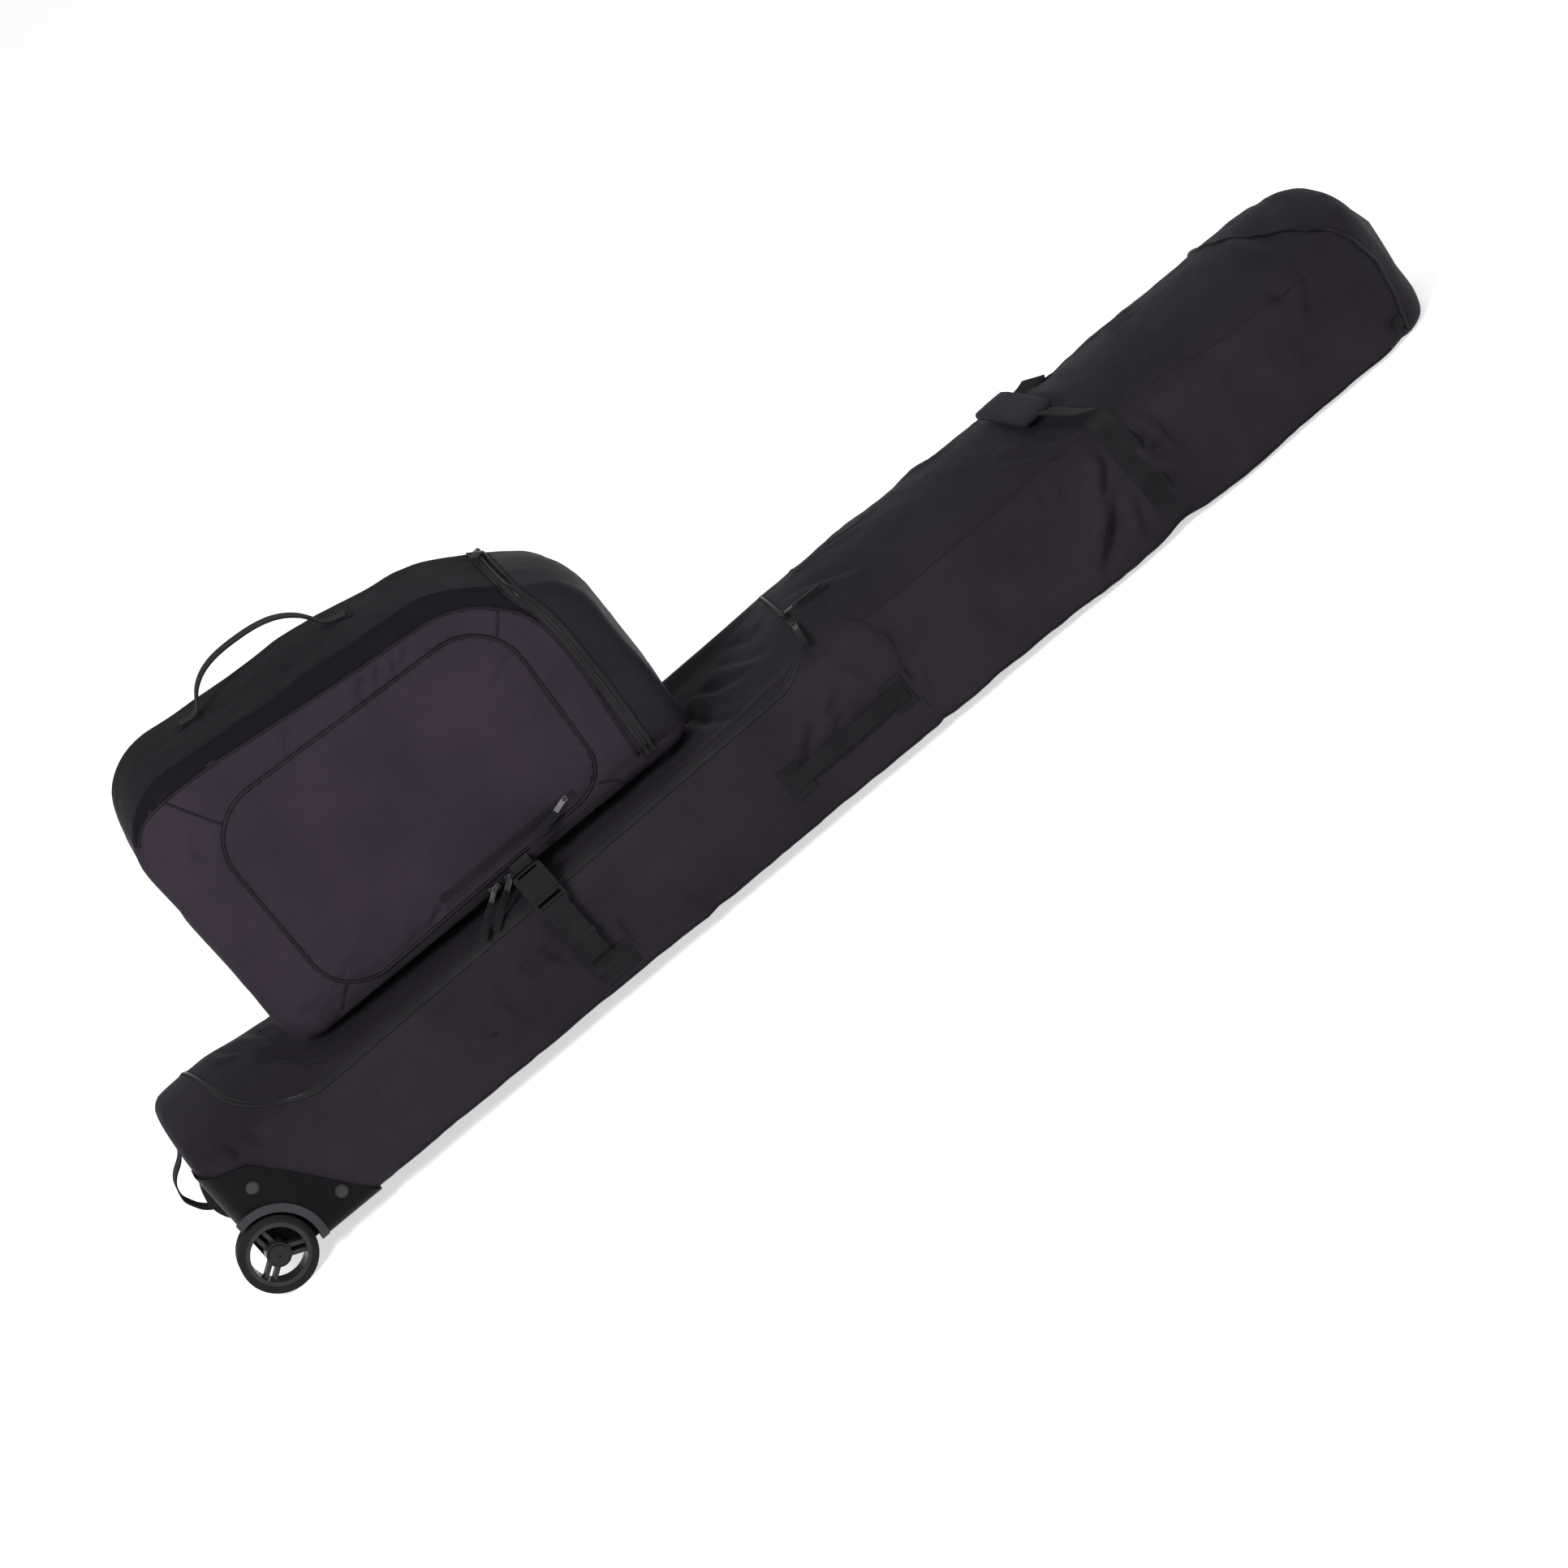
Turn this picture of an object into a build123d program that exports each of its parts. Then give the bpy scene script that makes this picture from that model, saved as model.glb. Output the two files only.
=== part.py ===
from build123d import *
import os
from math import atan2, cos, degrees, pi, radians, sin, tan

# Wheeled snowboard roller bag with a detachable gear duffel, in millimetres.
#
# +X runs along the bag from the wheel end to the top end, +Z is up, and the bag lies on its base.
# The base slopes a little, because the wheels hold its one end off the floor.

os.makedirs("parts", exist_ok=True)

# ---------------------------------------------------------------- driving dimensions
# Roller
wheel_end_x = -838.0        # face of the wheel end
top_end_x = 878.0           # tip of the top end
roller_width = 330.0
roller_wall = 4.0           # padded fabric: face cloth, foam and lining
rest_x = 820.0              # the base meets the floor from here on
wheel_end_height = 180.0    # height of the crown over the base at the wheel end
wheel_end_dome = 24.0       # how far the crown stands over the shoulders there
seat_left_z = 190.0         # crown under the duffel's left end, above the floor
seat_left_dome = 16.0
seat_right_z = 178.0        # crown under its right end, where the lid sags most
seat_right_dome = 1.0
lid_low_z = 183.0           # crown where the lid's corners begin
lid_low_dome = 6.0
lid_end_z = 193.0           # crown at the lid's last run
lid_end_dome = 15.0
transition_z = 201.0        # crown where the closed tube has its full height
tube_middle_z = 194.0
tube_dome = 22.0
waist_x = 530.0             # where the haul band squeezes the tube
waist_z = 175.0
top_end_z = 179.0
top_edge_r = 36.0           # rounding along the long top edges
base_edge_r = 16.0          # rounding along the long base edges
wheel_end_plan_r = 34.0
top_end_plan_r = 110.0
base_seam = 22.0            # the base panel wraps this far up the sides
side_seam_drop = 30.0       # the side seam lies this far under the top
end_round = 40.0            # soft edge round the top end
transition_x = 150.0        # where the closed tube has its full height
cap_x = 806.0               # seam of the top end cap
piping_width = 6.0
piping_proud = 1.8
tab_thickness = 2.5         # of the little webbing tab at the end piping

# Lid and its zip
lid_start_x = -790.0
lid_end_x = 69.0
lid_near_y = 13.0 - roller_width / 2    # the near run of the zip lies on the rounded edge
lid_hinge_y = roller_width / 2 - 37.0
lid_plan_r = 60.0
zip_width = 9.0
zip_near_width = 5.0        # measured in plan, on the rounded edge
zip_proud = 1.0
lid_gap = 0.4

# Wheels
wheel_radius = 46.0
wheel_x = -825.0
wheel_width = 28.0
wheel_outer_y = roller_width / 2 - 1.0  # outer face of each wheel, from the middle
wheel_drop = 28.0           # how far the wheels reach below the base
tyre_thickness = 8.0
rim_thickness = 5.5
hub_radius = 14.5
bearing_radius = 11.0
bearing_width = 7.0
axle_radius = 4.0
axle_clearance = 0.05
axle_head_radius = 13.0
axle_head_thickness = 3.0
spoke_count = 3
spoke_width = 5.0
spoke_gap = 5.0             # slot between the two bars of a twin spoke
spoke_depth = 12.0
well_radius = 52.0
well_wall = 3.0
well_side_gap = 3.0         # between a wheel and the walls beside it

# Corner housings
housing_skin = 2.5
housing_depth_y = 62.0      # how far a housing wraps round the end
housing_high_x = -785.0
housing_high_z = 125.0
housing_low_x = -690.0
arch_width = 10.0
arch_proud = 2.5
rivet_radius = 7.8
rivet_height = 3.0
rivet_points = [(-797.0, 128.0), (-725.0, 57.0)]

# Inside
board_thickness = 3.0
board_side_gap = 15.0       # between the board and the padded sides
board_width = roller_width - 2 * (roller_wall + board_side_gap)
board_start_x = -760.0
board_end_x = 790.0
inner_strap_x = [-480.0, -60.0]
inner_strap_width = 25.0
inner_strap_thickness = 1.6
inner_buckle_length = 34.0

# Webbing
webbing_thickness = 2.0
haul_band_x = 487.0
haul_band_width = 38.0
haul_reach = 58.0           # how far the haul loop lies back from its band
haul_grip_length = 150.0
haul_grip_width = 46.0
haul_grip_thickness = 13.0
haul_anchor_y = roller_width / 2 - 43.0
haul_play = 0.3             # between the loop's ends and the band's
handle_start_x = -49.0
handle_end_x = 122.0
handle_width = 24.0
handle_anchor_width = 40.0
handle_anchor_length = 26.0
handle_z = 62.0
handle_stand = 7.0          # finger gap under the side handle
end_loop_low_z = 70.0
end_loop_high_z = 172.0
end_loop_reach = 40.0
end_loop_width = 25.0

# Duffel strap and side-release buckle
strap_x = -335.0
strap_width = 32.0
strap_band_width = 48.0
buckle_width = 39.0
buckle_thickness = 9.0
ladder_length = 20.0
prong_length = 17.0
prong_width = 5.0
socket_length = 36.5
socket_wall = 1.6
buckle_clearance = 0.5
tail_length = 46.0
tail_hem_length = 26.0
keeper_height = 8.0

# Duffel
duffel_left_x = -660.0
duffel_right_x = -80.0
duffel_split_x = -142.0     # zip of the end door
duffel_near_y = 45.0 - roller_width / 2  # set in from the roller's sides
duffel_far_y = roller_width / 2 - 53.0
duffel_left_z = 556.0
duffel_shoulder_x = -215.0
duffel_shoulder_z = 508.0
duffel_right_z = 402.0
duffel_wall = 3.0
duffel_edge_r = 16.0
duffel_seat_gap = 0.5       # over the lid
duffel_panel = 24.0         # where the front and back panels end
foot_start_x = -600.0       # zip along the foot of the duffel's front
foot_end_x = -190.0
pocket_start_x = -430.0     # zip of the front pocket
pocket_end_x = -238.0
pocket_over_foot = 29.0
duffel_handle_start_x = -501.0
duffel_handle_end_x = -327.0
duffel_handle_rise = 46.0
duffel_handle_width = 25.0
duffel_handle_y = 14.0

# Zip sliders
slider_length = 15.0
slider_width = 9.0
slider_height = 4.0
slider_float = 0.4          # over the zip it runs on
main_slider_float = 1.4     # more on the domed last run, which also climbs
post_radius = 1.4
pull_play = 0.35
pull_thickness = 1.6
pull_metal_length = 28.0
pull_metal_width = 6.4
pull_web_length = 50.0
pull_web_width = 8.0
pull_web_ply = 0.9
main_far_y = -40.0            # places of the two main sliders along the last run
main_near_y = -84.0
foot_left_x = -375.0
foot_right_x = -352.0
door_slider_y = 60.0

far = 1.0
near = -1.0


def save(name, shape):
    """Writes one named sub-part as a STEP file."""
    shape.label = name
    export_step(shape, f"parts/{name}.step")


# ---------------------------------------------------------------- roller profile
half_width = roller_width / 2


def base_z(x):
    """Height of the base above the floor: the wheels lift the wheel end."""
    return max(0.0, wheel_drop * (rest_x - x) / (rest_x - wheel_end_x))


wheel_end_z = base_z(wheel_end_x) + wheel_end_height
tube_middle_x = (transition_x + waist_x) / 2
lid_low_x = lid_end_x - lid_plan_r
lid_tail_x = lid_end_x + zip_width + 3
top_stations = [            # x, height of the crown, rise of the dome
    (wheel_end_x, wheel_end_z, wheel_end_dome),
    (duffel_left_x, seat_left_z, seat_left_dome),
    (duffel_right_x, seat_right_z, seat_right_dome),
    (lid_low_x, lid_low_z, lid_low_dome),
    (lid_tail_x, lid_end_z, lid_end_dome),
    (transition_x, transition_z, tube_dome),
    (tube_middle_x, tube_middle_z, tube_dome),
    (waist_x, waist_z, tube_dome),
    (rest_x, top_end_z, tube_dome),
    (top_end_x, top_end_z - 3, tube_dome),
]


def along_top(x, column):
    """Value of one column of the top's stations at x, straight between stations."""
    for first, second in zip(top_stations, top_stations[1:]):
        if x <= second[0]:
            share = (x - first[0]) / (second[0] - first[0])
            return first[column] + (second[column] - first[column]) * share
    return top_stations[-1][column]


def top_z(x):
    """Height of the crown of the top above the floor."""
    return along_top(x, 1)


def dome_rise(x):
    """How far the crown stands over the shoulders at x."""
    return along_top(x, 2)


def seam_z(x):
    """Height of the side seam, on the rounded top edge."""
    return top_z(x) - side_seam_drop


def surface_z(x, y):
    """Height of the domed top at a point in plan, between its rounded edges."""
    reach = half_width - top_edge_r
    return top_z(x) - dome_rise(x) * (y / reach) ** 2


def section(x, inset, squeeze):
    """One upright section of the roller: flat base, upright sides and a domed top."""
    low = base_z(x) + inset + squeeze
    high = top_z(x) - inset - squeeze
    reach = half_width - inset
    low_r = base_edge_r - inset * 0.8
    high_r = top_edge_r - inset * 0.8
    rise = dome_rise(x)
    lean = 2 * atan2(rise, reach - high_r)
    chord = reach - high_r + high_r * sin(lean)
    lean = 2 * atan2(rise, chord)
    shoulder_y = reach - high_r + high_r * sin(lean)
    shoulder_z = high - rise
    side_top = shoulder_z - high_r * cos(lean)
    middle = pi / 4 + lean / 2
    mid_y = reach - high_r + high_r * sin(middle)
    mid_z = side_top + high_r * cos(middle)
    low_mid = low_r * (1 - sin(pi / 4))
    with BuildLine() as outline:
        Line((-reach + low_r, low), (reach - low_r, low))
        ThreePointArc((reach - low_r, low), (reach - low_mid, low + low_mid), (reach, low + low_r))
        Line((reach, low + low_r), (reach, side_top))
        ThreePointArc((reach, side_top), (mid_y, mid_z), (shoulder_y, shoulder_z))
        ThreePointArc((shoulder_y, shoulder_z), (0, high), (-shoulder_y, shoulder_z))
        ThreePointArc((-shoulder_y, shoulder_z), (-mid_y, mid_z), (-reach, side_top))
        Line((-reach, side_top), (-reach, low + low_r))
        ThreePointArc((-reach, low + low_r), (-reach + low_mid, low + low_mid), (-reach + low_r, low))
    face = make_face(outline.line)
    return Plane(origin=(x, 0, 0), x_dir=(0, 1, 0), z_dir=(1, 0, 0)) * face


def plan_block(x0, x1, y0, y1, corners, z0=-60.0, z1=400.0):
    """Upright block on a plan rectangle, with radii for its corners.

    The corners run near-left, near-right, far-right, far-left.
    """
    block = Pos((x0 + x1) / 2, (y0 + y1) / 2, (z0 + z1) / 2) * Box(x1 - x0, y1 - y0, z1 - z0)
    spots = [(x0, y0), (x1, y0), (x1, y1), (x0, y1)]
    for (cx, cy), radius in zip(spots, corners):
        if radius <= 0:
            continue
        edge = [
            e for e in block.edges().filter_by(Axis.Z)
            if abs(e.center().X - cx) < 0.01 and abs(e.center().Y - cy) < 0.01
        ]
        block = fillet(edge, radius)
    return block


def roller_body(inset):
    """The roller's outer form, drawn in by inset all over."""
    ends = [
        (wheel_end_x + inset, 9.0),
        (wheel_end_x + inset + 4, 3.0),
        (wheel_end_x + inset + 12, 0.0),
    ]
    ends += [(station[0], 0.0) for station in top_stations[1:-1]]
    for turn in (0, 25, 50, 70, 85):
        angle = radians(turn)
        x = top_end_x - inset - end_round * (1 - sin(angle))
        ends.append((x, end_round * 0.7 * (1 - cos(angle))))
    body = loft([section(x, inset, squeeze) for x, squeeze in ends], ruled=True)
    outline = plan_block(
        wheel_end_x + inset, ends[-1][0], -half_width + inset, half_width - inset,
        [wheel_end_plan_r - inset, top_end_plan_r - inset, top_end_plan_r - inset,
         wheel_end_plan_r - inset],
    )
    return body & outline


def side_block(points, y0, y1):
    """Block on an outline in the XZ plane, between two places along Y."""
    face = make_face(Polyline(*points, close=True))
    placed = Plane(origin=(0, y0, 0), x_dir=(1, 0, 0), z_dir=(0, -1, 0)) * face
    return extrude(placed, amount=y1 - y0, dir=(0, 1, 0))


def band_between(low, high, x0, x1, y0=-250.0, y1=250.0):
    """Everything between two heights that follow x, as a block."""
    spots = [x0] + [station[0] for station in top_stations if x0 < station[0] < x1] + [x1]
    if x0 < rest_x < x1 and rest_x not in spots:
        spots = sorted(spots + [rest_x])
    points = [(x, low(x)) for x in spots] + [(x, high(x)) for x in reversed(spots)]
    return side_block(points, y0, y1)


# ---------------------------------------------------------------- roller shell
outer_body = roller_body(0.0)
inner_body = roller_body(roller_wall)
raised_body = roller_body(-zip_proud)
shell = outer_body - inner_body

wheel_z = wheel_radius
wheel_inner_y = wheel_outer_y - wheel_width
well_inner_y = wheel_inner_y - well_side_gap
well_outer_r = well_radius + well_wall


def across(radius, y0, y1, x=wheel_x, z=wheel_z):
    """Cylinder along Y between two places."""
    return Pos(x, (y0 + y1) / 2, z) * Rot(90, 0, 0) * Cylinder(radius, abs(y1 - y0))


well_cut = across(well_outer_r, well_inner_y - well_wall, half_width + 30)
well_cut += across(well_outer_r, -half_width - 30, -well_inner_y + well_wall)
boss_depth = 9.0            # the axle boss reaches this far behind the well
well_cut += across(axle_head_radius, well_inner_y - well_wall - boss_depth, half_width)
well_cut += across(axle_head_radius, -half_width, -well_inner_y + well_wall + boss_depth)
shell -= well_cut

lid_low = 120.0
lid_block = plan_block(
    lid_start_x, lid_end_x, lid_near_y, lid_hinge_y, [lid_plan_r, lid_plan_r, 0, 0], lid_low
)
zip_block = plan_block(
    lid_start_x - zip_width, lid_end_x + zip_width, lid_near_y - zip_near_width, lid_hinge_y,
    [lid_plan_r + zip_near_width, lid_plan_r + zip_near_width, 0, 0], lid_low,
)
lid_inset_block = plan_block(
    lid_start_x + lid_gap, lid_end_x - lid_gap, lid_near_y + lid_gap, lid_hinge_y - lid_gap,
    [lid_plan_r, lid_plan_r, 0, 0], lid_low,
)
main_zip = (raised_body - inner_body) & (zip_block - lid_block)
lid_flap = shell & lid_inset_block
shell_open = shell - zip_block

x_far = 1200.0
wheel_split_x = lid_start_x - zip_width - 8
base_zone = band_between(lambda x: -80.0, lambda x: base_z(x) + base_seam, -x_far, x_far)
above_base = shell_open - base_zone
base_panel = shell_open & base_zone
cap_zone = band_between(lambda x: -90.0, lambda x: 500.0, cap_x, x_far)
wheel_zone = band_between(lambda x: -90.0, lambda x: 500.0, -x_far, wheel_split_x)
top_start_x = lid_end_x + zip_width
top_zone = band_between(seam_z, lambda x: 500.0, top_start_x, cap_x)
near_zone = band_between(lambda x: -90.0, lambda x: 500.0, wheel_split_x, cap_x, -250, 0)
far_zone = band_between(lambda x: -90.0, lambda x: 500.0, wheel_split_x, cap_x, 0, 250)
base_panel -= cap_zone
top_end_cap = shell_open & cap_zone
wheel_end_panel = above_base & wheel_zone
upper_top_panel = above_base & top_zone
sides = above_base - top_zone
near_side_panel = sides & near_zone
far_side_panel = sides & far_zone

piping_zone = band_between(
    lambda x: -90.0, lambda x: 500.0, cap_x - piping_width / 2, cap_x + piping_width / 2
)
end_piping = (roller_body(-piping_proud) - outer_body) & piping_zone
floor_cut = band_between(lambda x: -90.0, lambda x: base_z(x) + base_edge_r, -x_far, x_far)
end_piping -= floor_cut

# ---------------------------------------------------------------- corner housings
housing_body = roller_body(-housing_skin)
housing_outline = [
    (-900.0, -40.0),
    (housing_low_x, -40.0),
    (housing_low_x, base_z(housing_low_x)),
    (-752.0, 112.0),
    (housing_high_x, base_z(housing_high_x) + housing_high_z),
    (-900.0, base_z(wheel_end_x) + housing_high_z + 36),
]
skin = (housing_body - outer_body) & side_block(housing_outline, -250, 250)
skin &= band_between(lambda x: base_z(x) - 0.0 if x > 900 else 8.0, lambda x: 500.0, -x_far, x_far)
middle = Pos(wheel_x, 0, 100) * Box(300, 2 * (half_width - housing_depth_y), 500)
skin -= middle
skin -= well_cut


def corner_housing(side):
    """Moulded corner: outer skin, wheel well and the boss that holds the axle."""
    half = skin & (Pos(0, side * 150, 100) * Box(3000, 300, 600))
    wall_in = side * (well_inner_y - well_wall)
    wall_out = side * well_inner_y
    mouth = side * (half_width + housing_skin)
    well = across(well_outer_r, wall_in, mouth) - across(well_radius, wall_out, mouth + side * 5)
    well &= housing_body
    boss = across(axle_head_radius, wall_in - side * boss_depth, side * (wheel_inner_y - 0.5))
    boss &= housing_body
    housing = half + well + boss
    return housing - across(axle_radius, wall_in - side * 30, mouth + side * 20)


def arch_trim(side):
    """Half ring that frames the wheel arch on the housing's outer face."""
    face = side * (half_width + housing_skin)
    ring = across(well_radius + arch_width, face, face + side * arch_proud)
    ring -= across(well_radius, face - side, face + side * (arch_proud + 1))
    shadow = side_block(
        [
            (wheel_end_x - housing_skin + 1, base_z(wheel_x) + 1),
            (-600.0, base_z(wheel_x) + 1),
            (-600.0, 300.0),
            (wheel_end_x - housing_skin + 1, 300.0),
        ],
        -250, 250,
    )
    return ring & shadow


def rivet(x, z, side):
    """Domed rivet head on the housing's outer face."""
    head = Cylinder(rivet_radius, rivet_height, align=(Align.CENTER, Align.CENTER, Align.MIN))
    head = chamfer(head.edges().filter_by(GeomType.CIRCLE).sort_by(Axis.Z)[-1], rivet_height * 0.6)
    return Pos(x, side * (half_width + housing_skin), z) * Rot(-90 * side, 0, 0) * head


# ---------------------------------------------------------------- wheels
def wheel_parts(side):
    """Tyre, spoked rim, bearings and axle of one wheel."""
    outer = side * wheel_outer_y
    inner = side * wheel_inner_y
    middle_y = (outer + inner) / 2
    rim_outer = wheel_radius - tyre_thickness
    rim_inner = rim_outer - rim_thickness
    tyre = across(wheel_radius, inner, outer)
    tyre = chamfer(tyre.edges().filter_by(GeomType.CIRCLE), 2.5, 5.0)
    tyre -= across(rim_outer, inner - side, outer + side)
    rim = across(rim_outer, inner + side * 1.5, outer - side * 1.5)
    rim -= across(rim_inner, inner - side, outer + side)
    hub = across(hub_radius, inner, outer)
    bar_length = rim_inner - hub_radius + 5
    bar_middle = hub_radius - 2.5 + bar_length / 2
    for number in range(spoke_count):
        angle = 95 + number * 360 / spoke_count
        for shift in (-1, 1):
            bar = Pos(bar_middle, shift * (spoke_gap + spoke_width) / 2, 0)
            bar = bar * Box(bar_length, spoke_width, spoke_depth)
            rim += Pos(wheel_x, middle_y, wheel_z) * Rot(90, 0, 0) * Rot(0, 0, angle) * bar
    bore = across(bearing_radius - 2, inner - side, outer + side)
    seat_in = across(bearing_radius, inner - side, inner + side * bearing_width)
    seat_out = across(bearing_radius, outer - side * bearing_width, outer + side)
    rim = rim + hub - bore - seat_in - seat_out
    ring_in = across(bearing_radius, inner, inner + side * bearing_width)
    ring_out = across(bearing_radius, outer - side * bearing_width, outer)
    hole = across(axle_radius + axle_clearance, inner - side, outer + side)
    bearings = Compound([ring_in - hole, ring_out - hole])
    head_y = outer + side * 0.4
    axle = across(axle_radius, side * (well_inner_y - well_wall - boss_depth), head_y)
    head = across(axle_head_radius, head_y, head_y + side * axle_head_thickness)
    rim_edges = head.edges().filter_by(GeomType.CIRCLE)
    outer_edge = max(rim_edges, key=lambda e: side * e.center().Y)
    head = chamfer(outer_edge, 1.4)
    axle = axle + head
    axle -= across(2.4, head_y + side * 1.0, head_y + side * 6)
    return tyre, rim, bearings, axle


# ---------------------------------------------------------------- small helpers
def ribbon(points, width, thickness, middle_y=None, middle_x=None):
    """Flat webbing along a path, with its width along Y or along X."""
    if middle_y is not None:
        path = Polyline(*points)
        face = make_face(offset(path, amount=thickness / 2, side=Side.BOTH).edges())
        plane = Plane(origin=(0, middle_y - width / 2, 0), x_dir=(1, 0, 0), z_dir=(0, -1, 0))
        return extrude(plane * face, amount=width, dir=(0, 1, 0))
    path = Polyline(*points)
    face = make_face(offset(path, amount=thickness / 2, side=Side.BOTH).edges())
    plane = Plane(origin=(middle_x - width / 2, 0, 0), x_dir=(0, 1, 0), z_dir=(1, 0, 0))
    return extrude(plane * face, amount=width, dir=(1, 0, 0))


def block(x0, x1, y0, y1, z0, z1):
    """Box between two corners."""
    low = [min(x0, x1), min(y0, y1), min(z0, z1)]
    high = [max(x0, x1), max(y0, y1), max(z0, z1)]
    size = [b - a for a, b in zip(low, high)]
    return Pos(*[(a + b) / 2 for a, b in zip(low, high)]) * Box(*size)


# ---------------------------------------------------------------- inside the roller
board = band_between(
    lambda x: base_z(x) + roller_wall, lambda x: base_z(x) + roller_wall + board_thickness,
    board_start_x, board_end_x, -board_width / 2, board_width / 2,
)
board = fillet(board.edges().filter_by(Axis.Z), 12.0)


def inner_strap(x):
    """Hold-down strap across the floor of the compartment, sewn to both sides."""
    low = base_z(x) + roller_wall + board_thickness + 0.3
    reach = half_width - roller_wall
    foot = block(x - inner_strap_width / 2, x + inner_strap_width / 2, -reach, reach,
                 low, low + inner_strap_thickness)
    outer_y = reach
    for side in (near, far):
        foot += block(x - inner_strap_width / 2, x + inner_strap_width / 2,
                      side * outer_y, side * (outer_y - inner_strap_thickness), low, low + 52)
    rounded = foot & roller_body(roller_wall + 0.05)
    return rounded


def inner_buckle(x):
    """Ladder-lock that tightens the hold-down strap: a frame with three bars."""
    low = base_z(x) + roller_wall + board_thickness + 0.3 + inner_strap_thickness
    frame = block(x - inner_strap_width / 2 - 4, x + inner_strap_width / 2 + 4,
                  -inner_buckle_length / 2, inner_buckle_length / 2, low, low + 5)
    frame = fillet(frame.edges().filter_by(Axis.Z), 3.0)
    for y in (-8.5, 8.5):
        frame -= block(x - inner_strap_width / 2, x + inner_strap_width / 2,
                       y - 3.5, y + 3.5, low - 1, low + 7)
    return frame


# ---------------------------------------------------------------- strap and side-release buckle
def ladder_half(face_y, outward, low_z):
    """Lower buckle half: three ladder bars, then two spring prongs and a guide tongue."""
    y_in = face_y
    y_out = face_y + outward * buckle_thickness
    frame = block(strap_x - buckle_width / 2, strap_x + buckle_width / 2, y_in, y_out,
                  low_z, low_z + ladder_length)
    frame = fillet(frame.edges().filter_by(Axis.Y), 2.5)
    slot_height = 4.2
    for middle in (5.0, 13.0):
        frame -= block(strap_x - strap_width / 2, strap_x + strap_width / 2, y_in - 30 * outward,
                       y_out + 30 * outward, low_z + middle - slot_height / 2,
                       low_z + middle + slot_height / 2)
    mid_y = (y_in + y_out) / 2
    half = buckle_thickness / 2 - socket_wall - buckle_clearance
    top = low_z + ladder_length
    for side in (-1, 1):
        root_x = strap_x + side * (buckle_width / 2 - socket_wall - buckle_clearance - prong_width / 2)
        prong = block(root_x - prong_width / 2, root_x + prong_width / 2, mid_y - half, mid_y + half,
                      top - 0.5, top + prong_length)
        prong = fillet(prong.edges().filter_by(Axis.Y).sort_by(Axis.Z)[-2:], 2.0)
        frame += prong
    tongue = block(strap_x - 3, strap_x + 3, mid_y - half, mid_y + half, top - 0.5, top + prong_length - 4)
    return frame + tongue


def socket_half(face_y, outward, low_z):
    """Upper buckle half: an open-mouthed socket with side windows and a webbing bar."""
    y_in = face_y
    y_out = face_y + outward * buckle_thickness
    top = low_z + socket_length
    body = block(strap_x - buckle_width / 2, strap_x + buckle_width / 2, y_in, y_out, low_z, top)
    body = fillet(body.edges().filter_by(Axis.Y).sort_by(Axis.Z)[-2:], 5.0)
    body -= block(strap_x - buckle_width / 2 + socket_wall, strap_x + buckle_width / 2 - socket_wall,
                  y_in + outward * socket_wall, y_out - outward * socket_wall,
                  low_z - 1, low_z + prong_length + 1.5)
    window = prong_length * 0.5
    body -= block(strap_x - buckle_width, strap_x + buckle_width,
                  y_in + outward * socket_wall, y_out - outward * socket_wall,
                  low_z + 5, low_z + 5 + window)
    body -= block(strap_x - strap_width / 2 + 3, strap_x + strap_width / 2 - 3, y_in - outward,
                  y_out + outward, top - 5.0, top - 2.2)
    return body


# Near strap: sewn to the roller's side
side_face = -half_width
ladder_low_z = base_z(strap_x) + 131.0
ladder_face_y = side_face - 2 * webbing_thickness
strap_run_z = base_z(strap_x) + base_edge_r
near_strap = block(strap_x - strap_band_width / 2 + 12, strap_x + strap_band_width / 2 + 12,
                   side_face, side_face - 1.4, strap_run_z, base_z(strap_x) + 72)
slot_z = ladder_low_z + 5.0
near_strap += block(strap_x - strap_width / 2, strap_x + strap_width / 2,
                    side_face, side_face - webbing_thickness, base_z(strap_x) + 30, slot_z + 1)
tail_y = ladder_face_y - buckle_thickness
near_strap += block(strap_x - strap_width / 2 + 0.4, strap_x + strap_width / 2 - 0.4,
                    side_face, tail_y - webbing_thickness, slot_z - 1, slot_z + 1)
tail_low = slot_z - tail_length
hem_top = tail_low - keeper_height
hem_low = hem_top - tail_hem_length
near_strap += block(strap_x - strap_width / 2, strap_x + strap_width / 2, tail_y,
                    tail_y - webbing_thickness, hem_low, slot_z + 1)
hem = block(strap_x - strap_width / 2, strap_x + strap_width / 2, tail_y + 3.5,
            tail_y - webbing_thickness - 0.6, hem_low, hem_top)
near_strap += fillet(hem.edges().filter_by(Axis.X), 1.6)
keeper_in = block(strap_x - strap_width / 2, strap_x + strap_width / 2, side_face - 1,
                  tail_y - webbing_thickness, hem_top - 1, tail_low + 1)
keeper = block(strap_x - strap_width / 2 - 1.5, strap_x + strap_width / 2 + 1.5,
               side_face - webbing_thickness, tail_y - webbing_thickness - 1.2, hem_top, tail_low)
keeper -= keeper_in
near_ladder = ladder_half(ladder_face_y, near, ladder_low_z)
socket_low_z = ladder_low_z + ladder_length + 0.4
near_socket = socket_half(ladder_face_y, near, socket_low_z)

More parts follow.
